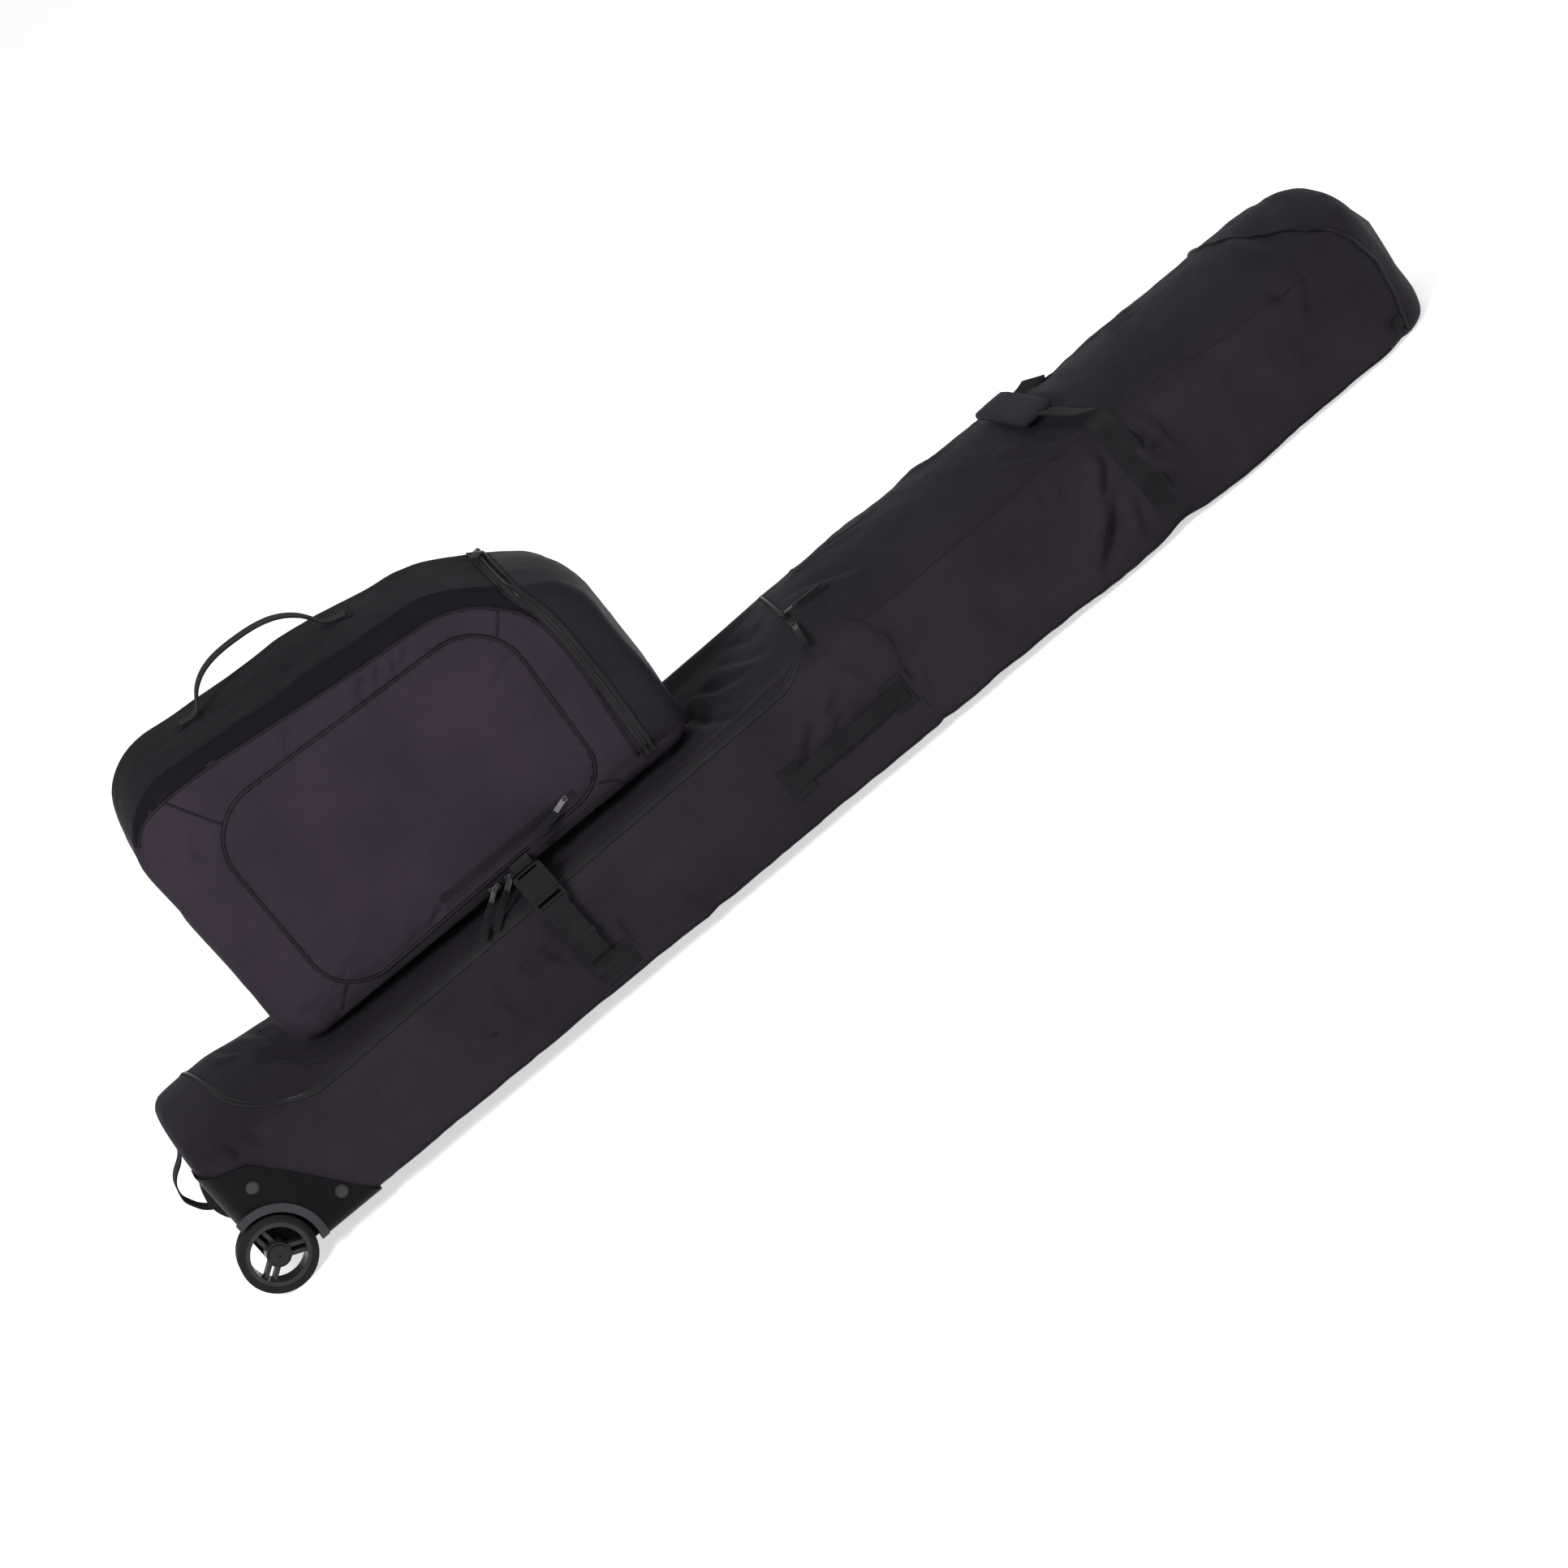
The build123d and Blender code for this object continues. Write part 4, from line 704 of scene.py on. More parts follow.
def clothMove(spot):  # how far the filled cloth stands out or falls in at a point
    x, y, z = spot
    amount = 0.0018 * grain(x, y, z, 0.16) + 0.0014 * grain(x * 1.3, y, z * 0.6, 0.05, 4.0)
    amount += 0.0008 * grain(x * 1.6, y * 0.6, z * 0.6, 0.024, 9.0)
    onSide, onCrown = smooth(abs(y), 0.140, 0.158), smooth(z, 0.150, 0.170)
    if y < 0:
        amount += creaseMove(sideCreases, x, z) * onSide
    else:
        mirrored = creaseMove(sideCreases, x + 0.03 * math.sin(30 * z), 0.19 - z * 0.9)
        amount += mirrored * folds["farSide"] * onSide
    amount += creaseMove(topCreases, x, y) * onCrown
    amount -= folds["pinch"] * bump(x, haulX, folds["pinchWidth"])  # the haul band draws the tube in
    amount += 0.0035 * bump(x, haulX - 0.09, 0.05) + 0.003 * bump(x, haulX + 0.09, 0.05)
    amount -= folds["seamPull"] * bump(x, 0.806, 0.008) + 0.002 * bump(x, 0.136, 0.006) * (1 if z < 0.17 else 0)
    underLoop = smooth(0.10 - abs(x - haulX), 0, 0.02) * smooth(0.135 - abs(y), 0, 0.02) * onCrown
    amount = mix(amount, min(amount, -0.0005), underLoop)
    held = smooth(-0.66 - x, 0, 0.05) * smooth(0.17 - z, 0, 0.02)
    if y < -0.15:  # under straps and anchors the cloth keeps its place
        held = max(held, smooth(0.034 - abs(x + 0.329), 0, 0.010))
        for place in (-0.036, 0.109):
            beside = smooth(0.026 - abs(x - place), 0, 0.010)
            held = max(held, beside * smooth(0.030 - abs(z - 0.078), 0, 0.010))
    return mix(amount - 0.001, folds["held"], held)


def atRim(x, y, z):  # 0 beside the lid's zip, 1 away from it
    if z < 0.12:
        return 1.0
    return smooth(-lidDistance(x, y), 0.006, 0.04)


# Rings of the shell as x and share of full size: closed end, curve into it, length, curve, closed end
endX, topX = roller["wheelEnd"], roller["topEnd"]
ringPlaces = [(endX, share) for share in (0, 0.2, 0.4, 0.6, 0.75, 0.88, 0.96)]
ringPlaces += [(endX + roller["wheelPlan"] * (1 - math.cos(step * pi / 16)), 1) for step in range(8)]
ringPlaces += [(x, 1) for x in spread(-0.800, 0.768, 301)]
ringPlaces += [(topX - roller["topPlan"] * (1 - math.sin(step * pi / 40)), 1) for step in range(1, 20)]
ringPlaces += [(topX - 0.0002, share) for share in (1, 0.96, 0.88, 0.75, 0.6, 0.4, 0.2, 0)]
partStarts = [0.0, *sectionParts.values(), 1.0]
halfTurns = []
for first, second, steps in zip(partStarts, partStarts[1:], (18, 8, 24, 4, 5)):
    halfTurns += spread(first, second, steps + 1)[:-1]
halfTurns.append(1.0)
turnPlaces = [-value for value in reversed(halfTurns[1:])] + halfTurns


def shellPoint(u, v):
    x, share = ringPlaces[round(u * (len(ringPlaces) - 1))]
    turn = turnPlaces[round(v * (len(turnPlaces) - 1))]
    spot = rollerPoint(x, turn)
    if share < 1:
        middle = Vector((x, 0, (softCrown(x, 1) + baseHeight(x)) / 2))
        spot = middle.lerp(spot, share)
        spot.x += 0.003 * (1 - share ** 2) * (1 if x > 0 else -0.1)
        return spot
    return spot + outwardAt(x, turn) * clothMove(spot) * atRim(*spot)


def rimTrail(offset, count, nearShare=1.0):  # runs round the lid from its far hinge corner, beside its zip
    near = lid["nearY"] - offset * nearShare
    trail = [Vector((lid["end"] + offset, lid["hingeY"], 0))]
    for side, edge, inner in ((1, lid["end"], lid["corner"]), (-1, None, lid["wheelCorner"])):
        corner, run = inner + offset, []
        for angle in spread(0, pi / 2, 17):
            y = mix(lid["nearY"] + inner, near, math.sin(angle))
            middle = edge - inner if edge else lidStart(y) + inner
            run.append(Vector((middle + side * corner * math.cos(angle), y, 0)))
        trail += run if side > 0 else run[::-1]
    trail.append(Vector((lid["start"] - offset, lid["hingeY"], 0)))
    return evenTrail(trail, count)


def onTop(spot, lift=0.0):
    return Vector((spot.x, spot.y, topHeight(spot.x, spot.y) + lift))


def makeRollerShell():
    shell = wrapGrid("rollerShell", len(ringPlaces) - 1, len(turnPlaces) - 1, shellPoint)
    closeSeams(shell, 0.0002)

    def cutAway(centre):
        inside = lidDistance(centre.x, centre.y)
        inLid = centre.z > 0.13 and centre.y < lid["hingeY"] and inside > -lid["zip"]
        if inLid and centre.y < -0.14 and inside < -lid["nearZip"]:
            inLid = lid["start"] + 0.03 > centre.x or centre.x > lid["end"] - 0.03
        fromAxle = math.hypot(centre.x - well["x"], centre.z - well["z"])
        return inLid or abs(centre.y) > well["inner"] and fromAxle < well["radius"]

    dropFaces(shell, cutAway)
    rim = [onTop(spot) for spot in rimTrail(lid["zip"], 900, lid["nearZip"] / lid["zip"])]
    hinge = spread(lid["start"] - lid["zip"], lid["end"] + lid["zip"], 301)
    rim += [onTop(Vector((x, lid["hingeY"], 0))) for x in hinge]
    for index in rimVertices(shell):
        vertex = shell.data.vertices[index]
        if vertex.co.z > 0.13:
            vertex.co = min(rim, key=lambda spot: (spot - vertex.co).length)
    applyModifier(shell, "SOLIDIFY", thickness=roller["wall"], offset=-1)
    panels = ("near_side_panel", "far_side_panel", "wheel_end_panel", "upper_top_panel", "top_end_cap",
              "base_panel")
    finishPiece(shell, "roller", paint["roller"], panels, 60)
    shell.data.materials.append(paint["base"])
    for face in shell.data.polygons:
        if face.center.z < baseHeight(face.center.x) + roller["baseBand"]:
            face.material_index = 1


def lidPoint(u, v):
    y = mix(lid["nearY"], lid["hingeY"], v)
    pulls = []
    for corner in (lid["wheelCorner"], lid["corner"]):
        deep = max(0.0, corner - (y - lid["nearY"]))
        pulls.append(corner - math.sqrt(max(0.0, corner ** 2 - deep ** 2)))
    x = mix(lidStart(y) + pulls[0], lid["end"] - pulls[1], u)
    spot = onTop(Vector((x, y, 0)))
    hold = smooth(lidDistance(x, y), 0.0, 0.03) * smooth(lid["hingeY"] - y, 0.0, 0.03)
    sag = lid["sag"] * smooth(x, -0.72, -0.30) * (1 - 0.6 * smooth(x, -0.06, 0.06))
    atEnds = smooth(x, -0.12, -0.02) + smooth(-x, 0.60, 0.68)
    move = 0.003 * grain(x * 0.8, y * 0.3, 0, 0.05, 2.0) * atEnds
    move += 0.0012 * grain(x, y, 0, 0.03, 6.0) + creaseMove(lidCreases, x, y)
    spot.z += hold * (move - sag)
    return spot


def makeLid():
    flap = wrapGrid("lidFlap", 200, 60, lidPoint, (lid["length"], lid["width"]))
    closeSeams(flap)
    applyModifier(flap, "SOLIDIFY", thickness=roller["wall"], offset=-1)
    finishPiece(flap, "lid", paint["roller"], ("lid_flap",), 60)


def makeMainZip():
    count = 420
    ratio = lid["nearZip"] / lid["zip"]
    inner, outer = rimTrail(0.0003, count, ratio), rimTrail(lid["zip"] - 0.0002, count, ratio)

    def tapePoint(u, v):
        index = round(u * (count - 1))
        spot = inner[index].lerp(outer[index], v)
        middle = 1 - abs(2 * v - 1)
        return onTop(spot, 0.0004 + 0.0008 * smooth(middle, 0.0, 0.4))

    tape = wrapGrid("mainZipTape", count - 1, 8, tapePoint, (2.0, 0.009))
    applyModifier(tape, "SOLIDIFY", thickness=0.0010, offset=-1)
    closeSeams(tape, 0.00001)
    finishPiece(tape, "roller", paint["zip"], ("main_zip",))
    middle = [onTop(first.lerp(second, 0.5), 0.0012) for first, second in zip(inner, outer)]
    layCoil("mainZipCoil", middle, 0.0011, "roller")


def turnAt(x, side, height):  # the turn at which the section stands this far above its base
    goal = baseHeight(x) + height
    return side * min(spread(0.28, 0.60, 201), key=lambda turn: abs(rollerPoint(x, turn).z - goal))


def clothSpot(x, turn, lift):
    spot = rollerPoint(x, turn)
    return spot + outwardAt(x, turn) * (clothMove(spot) * atRim(*spot) + lift)


seams = {"piping": 0.0024, "welt": 0.0015, "top": 0.0010, "side": 0.0011, "sunk": -0.0003, "stitchGap": 0.004,
         "start": 0.136, "end": 0.775}
endSeam = [(-0.63, 0.820), (-0.55, 0.835), (-0.47, 0.843), (-0.40, 0.837), (-0.34, 0.829), (-0.28, 0.817),
           (-0.20, 0.799), (-0.10, 0.774), (0.0, 0.755), (0.10, 0.733), (0.20, 0.719), (0.30, 0.713), (0.50, 0.711),
           (0.63, 0.713)]  # turn and x
topSeamHeights = [(0.10, 0.160), (0.16, 0.155), (0.47, 0.154), (0.57, 0.148), (0.66, 0.141), (0.78, 0.136)]
sideSeamPlaces = [(0.030, 0.130), (0.086, 0.137), (0.124, 0.142), (0.150, 0.135), (0.172, 0.118)]


def makeSeams():
    trail = [clothSpot(blendedAt(endSeam, turn), turn, 0.0006) for turn in spread(-0.63, 0.63, 140)]
    layPiping("endPiping", evenTrail(trail, 130), seams["piping"], "roller", ("end_piping",))
    for side, word in sides:
        trail = [clothSpot(x, side * 0.645, 0.0002) for x in spread(-0.660, 0.790, 160)]
        layPiping(word + "BaseWelt", trail, seams["welt"])
        line = [(x, blendedAt(topSeamHeights, x)) for x in spread(seams["start"], seams["end"], 110)]
        trail = [clothSpot(x, turnAt(x, side, height), seams["sunk"]) for x, height in line]
        layPiping(word + "TopSeam", trail, seams["top"])
        row = [clothSpot(x, turnAt(x, side, height + seams["stitchGap"]), 0.0002) for x, height in line]
        stitchRow(word + "TopStitch", row, "roller")
        line = [(blendedAt(sideSeamPlaces, height), height) for height in spread(0.172, 0.028, 60)]
        trail = [clothSpot(x, turnAt(x, side, height), seams["sunk"]) for x, height in line]
        layPiping(word + "SideSeam", trail, seams["side"])


# Duffel
duffel = {"points": [(-0.660, 0.191), (-0.660, 0.556), (-0.215, 0.508), (-0.080, 0.402), (-0.084, 0.180)],
          "radii": [0.040, 0.085, 0.110, 0.075, 0.034], "nearY": -0.120, "farY": 0.112, "rim": 0.026,
          "split": -0.1345, "sill": 0.1953, "wall": 0.0026, "bulge": 0.010}
panel = {"points": [(-0.586, 0.205), (-0.580, 0.476), (-0.180, 0.448), (-0.196, 0.208)],
         "radii": [0.062, 0.066, 0.070, 0.050]}
outlineCount = 300
duffelTrail = roundCorners(duffel["points"], duffel["radii"], outlineCount)
duffelMiddle = Vector((-0.37, 0.33))
panelTrail = roundCorners(panel["points"], panel["radii"], 240)


def trailNormal(trail, index):
    ahead = trail[(index + 1) % len(trail)] - trail[index - 1]
    normal = Vector((-ahead.y, ahead.x)).normalized()
    return normal if normal.dot(trail[index] - duffelMiddle) > 0 else -normal


def panelDistance(x, z):
    return min((Vector((x, z)) - spot).length for spot in panelTrail[::3])


frontCreases = [
    (-0.430, 0.497, -0.448, 0.474, 0.0030, 0.0050), (-0.333, 0.489, -0.350, 0.464, 0.0036, 0.0050),
    (-0.312, 0.484, -0.325, 0.464, 0.0034, 0.0045), (-0.291, 0.482, -0.302, 0.461, 0.0034, 0.0045),
    (-0.274, 0.480, -0.291, 0.459, 0.0034, 0.0045), (-0.587, 0.474, -0.604, 0.432, 0.0036, 0.0070),
    (-0.196, 0.394, -0.230, 0.373, 0.0024, 0.0070), (-0.199, 0.357, -0.222, 0.350, 0.0020, 0.0055),
    (-0.199, 0.322, -0.222, 0.315, 0.0020, 0.0055), (-0.610, 0.225, -0.628, 0.232, 0.0026, 0.0060),
    (-0.436, 0.226, -0.450, 0.206, 0.0024, 0.0060), (-0.160, 0.300, -0.166, 0.250, 0.0020, 0.0070),
    (-0.520, 0.500, -0.534, 0.480, 0.0018, 0.0050), (-0.560, 0.240, -0.530, 0.226, 0.0018, 0.0070),
    (-0.630, 0.360, -0.622, 0.300, 0.0020, 0.0080), (-0.165, 0.400, -0.158, 0.350, 0.0018, 0.0060)]


def duffelMove(x, y, z):  # folds and fill of the soft duffel
    move = 0.0028 * grain(x, y, z, 0.13, 3.0) + 0.0012 * grain(x * 1.3, y, z * 0.8, 0.05, 5.0)
    move += 0.0005 * grain(x, y, z, 0.02, 7.0)
    if y < -0.105:
        move += creaseMove(frontCreases, x, z)
    elif z > 0.40:
        move -= 0.013 * bump(x, -0.235, 0.075) + 0.004 * smooth(-0.36 - x, 0, 0.1)
    return move


faceRows = (0, 0.12, 0.24, 0.36, 0.47, 0.55, 0.62, 0.68, 0.73, 0.77, 0.805, 0.84, 0.87, 0.90, 0.925, 0.95,
            0.975)
allRows = [("face", share) for share in faceRows] + [("rim", share / 7) for share in range(7)]
allRows += [("wall", share / 16) for share in range(17)] + [("farRim", share / 7) for share in range(1, 8)]
allRows += [("farFace", share) for share in (0.97, 0.93, 0.88, 0.82, 0.74, 0.64, 0.52, 0.38, 0.2, 0)]


def duffelPoint(u, v):
    index = round(u * outlineCount) % outlineCount
    kind, share = allRows[round(v * (len(allRows) - 1))]
    edge = duffelTrail[index]
    normal = trailNormal(duffelTrail, index)
    rim, near, far = duffel["rim"], duffel["nearY"], duffel["farY"]
    inner = edge - normal * rim
    standing = smooth(edge.y, 0.20, 0.26)  # the foot lies flat on the lid
    if kind in ("face", "farFace"):
        flat = duffelMiddle.lerp(inner, share)
        bulge = duffel["bulge"] * (1 - share ** 4)
        y = near - bulge if kind == "face" else far + bulge * 0.6
        move = duffelMove(flat.x, y, flat.y)
        if kind == "face":
            y -= move - 0.0035 * bump(panelDistance(flat.x, flat.y), 0, 0.007)
        else:
            y += move
        return Vector((flat.x, y, flat.y))
    if kind in ("rim", "farRim"):
        angle = share * pi / 2
        if kind == "rim":
            out, depth = math.sin(angle), near + rim * (1 - math.cos(angle))
        else:
            out, depth = math.cos(angle), far - rim * (1 - math.sin(angle))
        flat = inner + normal * rim * out
        move = duffelMove(flat.x, depth, flat.y) * out * standing
        return Vector((flat.x + normal.x * move, depth, flat.y + normal.y * move))
    depth = mix(near + rim, far - rim, share)
    fill = math.sin(share * pi) * standing * (0.008 if edge.x > -0.2 and edge.y < 0.45 else 0.001)
    move = (duffelMove(edge.x, depth, edge.y) + fill) * standing
    return Vector((edge.x + normal.x * move, depth, edge.y + normal.y * move))


def onTopPanel(face):  # above the seam between the front and the top panel
    x, y, z = face.center
    return y < duffel["farY"] - 0.006 and z > blendedAt(topPanelSeam, x)


topPanelSeam = [(-0.645, 0.497), (-0.628, 0.514), (-0.604, 0.521), (-0.533, 0.519), (-0.462, 0.509),
                (-0.386, 0.4990), (-0.303, 0.4890), (-0.237, 0.482), (-0.217, 0.476), (-0.187, 0.460),
                (-0.166, 0.438), (-0.153, 0.4207), (-0.1445, 0.398)]


def splitDuffel(shell, keepDoor):
    for place, way in (((duffel["split"], 0, 0), (1, 0, 0)), ((0, 0, duffel["sill"]), (0, 0, 1))):
        editWhole(shell, (bpy.ops.mesh.bisect, {"plane_co": place, "plane_no": way}))
    dropFaces(shell, lambda centre: (centre.x > duffel["split"] and centre.z > duffel["sill"]) != keepDoor)


def makeDuffel():
    shell = wrapGrid("duffelBody", outlineCount, len(allRows) - 1, duffelPoint)
    closeSeams(shell, 0.0001)
    corners = [vertex.co.copy() for vertex in shell.data.vertices]
    surface = BVHTree.FromPolygons(corners, [tuple(face.vertices) for face in shell.data.polygons])
    door = shell.copy()
    door.data = shell.data.copy()
    door.name = "duffelDoor"
    bpy.context.collection.objects.link(door)
    splitDuffel(shell, False)
    splitDuffel(door, True)
    for piece in (shell, door):
        applyModifier(piece, "SOLIDIFY", thickness=duffel["wall"], offset=-1)
    finishPiece(shell, "duffel", paint["duffel"],
                ("duffel_front", "duffel_back", "duffel_base", "duffel_left_end", "duffel_top"), 60)
    finishPiece(door, "duffel_door", paint["duffel"], ("duffel_end_door",), 60)
    for piece in (shell, door):
        piece.data.materials.append(paint["duffelTop"])
        piece.data.materials.append(paint["duffelEnd"])
        for face in piece.data.polygons:
            if face.center.z > 0.2 and (onTopPanel(face) or piece == door):
                face.material_index = 1 if piece == shell else 2
    return surface


def onDuffelFront(surface, x, z, lift):
    spot = surface.ray_cast(Vector((x, -0.4, z)), Vector((0, 1, 0)))[0] or Vector((x, duffel["nearY"], z))
    return spot - Vector((0, lift, 0))


def frontLine(surface, start, end, count, lift):  # a straight line drawn on the duffel's front
    places = zip(spread(start[0], end[0], count), spread(start[1], end[1], count))
    return [onDuffelFront(surface, x, z, lift) for x, z in places]


def makeDuffelPiping(surface):
    trail = [onDuffelFront(surface, spot.x, spot.y, 0.0006) for spot in panelTrail]
    layPiping("panelPiping", trail, 0.0022, "duffel", closed=True)
    inner = [spot.lerp(duffelMiddle, 0.022) for spot in panelTrail]
    inner = [onDuffelFront(surface, spot.x, spot.y, 0.0003) for spot in inner]
    stitchRow("panelStitch", inner + inner[:1], "duffel")
    shape = topPanelSeam + [(-0.1405, 0.367), (-0.1425, 0.320), (-0.147, 0.2886), (-0.1555, 0.205)]
    line = smoothTrail([Vector((x, 0, z)) for x, z in shape], 220)
    trail = [onDuffelFront(surface, spot.x, spot.z, 0.0004) for spot in line]
    layPiping("frontPiping", trail, 0.0019, "duffel")


def duffelTopHeight(surface, x, y):
    spot = surface.ray_cast(Vector((x, y, 0.9)), Vector((0, 0, -1)))[0]
    return spot.z if spot else 0.5


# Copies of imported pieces, with worn soft edges
def softCopy(node, name, edge=0.0004, limp=0.0, wave=0.03):
    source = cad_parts[node]
    piece = bpy.data.objects.new(name, source.data.copy())
    bpy.context.collection.objects.link(piece)
    piece.matrix_world = source.matrix_world.copy()
    choose(piece)
    bpy.ops.object.transform_apply(location=True, rotation=True, scale=True)
    editWhole(piece, (bpy.ops.mesh.remove_doubles, {"threshold": 0.00001}),
              (bpy.ops.mesh.dissolve_limited, {"angle_limit": math.radians(2)}))
    if limp:
        editWhole(piece, (bpy.ops.mesh.quads_convert_to_tris, {}), (bpy.ops.mesh.subdivide, {"number_cuts": 3}))
        for vertex in piece.data.vertices:
            vertex.co += Vector([grain(*vertex.co, wave, seed) for seed in (1.0, 5.0, 9.0)]) * limp
    if edge:
        softenEdges(piece, edge, 2, 35)
    return piece


def softenEdges(piece, width, segments, angle):
    applyModifier(piece, "BEVEL", width=width, segments=segments, limit_method="ANGLE",
                  angle_limit=math.radians(angle))


def splitLoose(piece):  # separate solids, smallest first
    editWhole(piece, (bpy.ops.mesh.separate, {"type": "LOOSE"}))
    return sorted(bpy.context.selected_objects, key=lambda part: part.dimensions.length)


def boxTrail(left, right, low, high, y):  # round a box, then both diagonals
    first, second = Vector((left, y, low)), Vector((right, y, low))
    third, fourth = Vector((right, y, high)), Vector((left, y, high))
    return [first, second, third, fourth, first, third, fourth, second]


# Webbing and handles
endLoop = {"face": -0.8412, "tip": -0.8768, "low": 0.070, "high": 0.172, "width": 0.0245, "thickness": 0.002}


def normalsAlong(trail):  # outward normals of a loop that stands in the XZ plane
    last = len(trail) - 1
    ahead = [trail[min(last, place + 1)] - trail[max(0, place - 1)] for place in range(last + 1)]
    return [way.normalized().cross(Vector((0, -1, 0))) for way in ahead]


def makeEndLoop():
    low, high, face, tip = endLoop["low"], endLoop["high"], endLoop["face"], endLoop["tip"]
    shape = [(face, low - 0.006), (face, low + 0.012), (tip + 0.012, low + 0.022), (tip + 0.001, low + 0.044),
             (tip, high - 0.050), (tip + 0.006, high - 0.028), (face - 0.004, high - 0.013), (face, high + 0.004)]
    trail = smoothTrail([Vector((x, 0, z)) for x, z in shape], 70)
    band = bandAlong("endLoopWeb", trail, normalsAlong(trail), endLoop["width"], endLoop["thickness"])
    finishWebbing(band, "end_grip", "end_loop")


sideHandle = {"start": -0.049, "end": 0.122, "z": 0.0759, "width": 0.022, "thickness": 0.0022, "stand": 0.0064,
              "anchor": 0.026, "face": -0.1674}


def makeSideHandle():
    start, end, face = sideHandle["start"], sideHandle["end"], sideHandle["face"]
    anchor, stand = sideHandle["anchor"], sideHandle["stand"]
    shape = [(start + 0.002, face), (start + anchor, face), (start + anchor + 0.016, face - stand),
             (end - anchor - 0.016, face - stand), (end - anchor, face), (end - 0.002, face)]
    arches = [0.003 * math.sin(pi * (x - start) / (end - start)) for x, y in shape]
    points = [Vector((x, y, sideHandle["z"] + arch)) for (x, y), arch in zip(shape, arches)]
    trail = smoothTrail(points, 90)
    normals = [Vector((0, -1, 0))] * 90
    band = bandAlong("sideHandleWeb", trail, normals, sideHandle["width"], sideHandle["thickness"], 0.0008)
    for vertex in band.data.vertices:  # the grip is folded narrower in its middle
        share = math.sin(pi * clamp((vertex.co.x - start) / (end - start)))
        vertex.co.z = mix(vertex.co.z, sideHandle["z"] + 0.003, 0.18 * share)
    finishWebbing(band, "side_grip", "side_handle")
    finishWebbing(softCopy("handle_anchors", "handleAnchors"), "roller", "handle_anchors")
    low, high, out = sideHandle["z"] - 0.017, sideHandle["z"] + 0.017, face + 0.0006
    ends = (("left", start - 0.001, start + anchor - 0.002), ("right", end - anchor + 0.002, end + 0.001))
    for word, left, right in ends:
        stitchRow(word + "AnchorStitch", boxTrail(left, right, low, high, out), "roller")


duffelHandle = {"start": -0.501, "end": -0.327, "y": 0.014, "rise": 0.046, "width": 0.022, "thickness": 0.002,
                "tail": 0.024}


def slantHeight(x):  # the straight line of the duffel's top, from its high corner to its low one
    (highX, highZ), (lowX, lowZ) = duffel["points"][1:3]
    return highZ + (lowZ - highZ) * (x - highX) / (lowX - highX)


def makeDuffelHandle(surface):
    start, end, y, tail = (duffelHandle[key] for key in ("start", "end", "y", "tail"))

    def seat(x):
        return duffelTopHeight(surface, x, y) + 0.0026

    points = [Vector((start - tail, y, seat(start - tail)))]
    for share in spread(0, 1, 13):
        lift = duffelHandle["rise"] * (1 - abs(2 * share - 1) ** 2.6) ** 0.8
        x = mix(start, end, share) - 0.004 * math.sin(2 * pi * share)
        points.append(Vector((x, y, mix(seat(start), seat(end), share) + lift)))
    points.append(Vector((end + tail, y, seat(end + tail))))
    trail = smoothTrail(points, 110)
    width, thickness = duffelHandle["width"], duffelHandle["thickness"]
    band = bandAlong("duffelHandleWeb", trail, normalsAlong(trail), width, thickness)
    finishWebbing(band, "duffel_grip", "duffel_handle")
    pads = softCopy("duffel_handle_pads", "duffelHandlePads")
    for vertex in pads.data.vertices:
        above = clamp(vertex.co.z - slantHeight(vertex.co.x), 0.0, 0.0014)
        vertex.co.z = duffelTopHeight(surface, vertex.co.x, vertex.co.y) + above - 0.0002
    finishPiece(pads, "duffel", paint["duffelTop"], ("duffel_handle_pads",))


haulLoop = {"shift": -0.002, "skew": 0.012, "dip": 0.009, "bandWidth": 0.032, "bandThickness": 0.0018,
            "stitchPlace": 0.0135}


def leanLoop(piece):  # the loop lies askew, its near end towards the top end
    for vertex in piece.data.vertices:
        y = vertex.co.y
        hang = smooth(0.1215 - abs(y), 0.0, 0.055)
        vertex.co.x += (haulLoop["shift"] - haulLoop["skew"] * clamp(y / 0.075, -1, 1)) * hang
        vertex.co.z -= haulLoop["dip"] * bump(y, 0.100, 0.020)


def makeHaulBand():
    for side, word in sides:
        trail, normals = [], []
        for turn in spread(side * 0.245, side * 0.626, 80):
            spot, out = rollerPoint(haulX - 0.003, turn), outwardAt(haulX, turn)
            trail.append(spot + out * (clothMove(spot) + 0.0014))
            normals.append(out)
        band = bandAlong(word + "HaulBand", trail, normals, haulLoop["bandWidth"], haulLoop["bandThickness"])
        finishWebbing(band, "roller", *(["haul_bands"] if side < 0 else []))
        for way, edge in ((-1, "Inner"), (1, "Outer")):
            shift = Vector((way * haulLoop["stitchPlace"], 0, 0))
            row = [spot + shift + out * 0.0011 for spot, out in zip(trail, normals)]
            stitchRow(word + edge + "BandStitch", row, "roller")
    straps = softCopy("haul_straps", "haulStraps", limp=0.0003, wave=0.02)
    leanLoop(straps)
    finishWebbing(straps, "haul_loop", "haul_straps")


grip = {"length": 0.150, "width": 0.046, "thickness": 0.013}


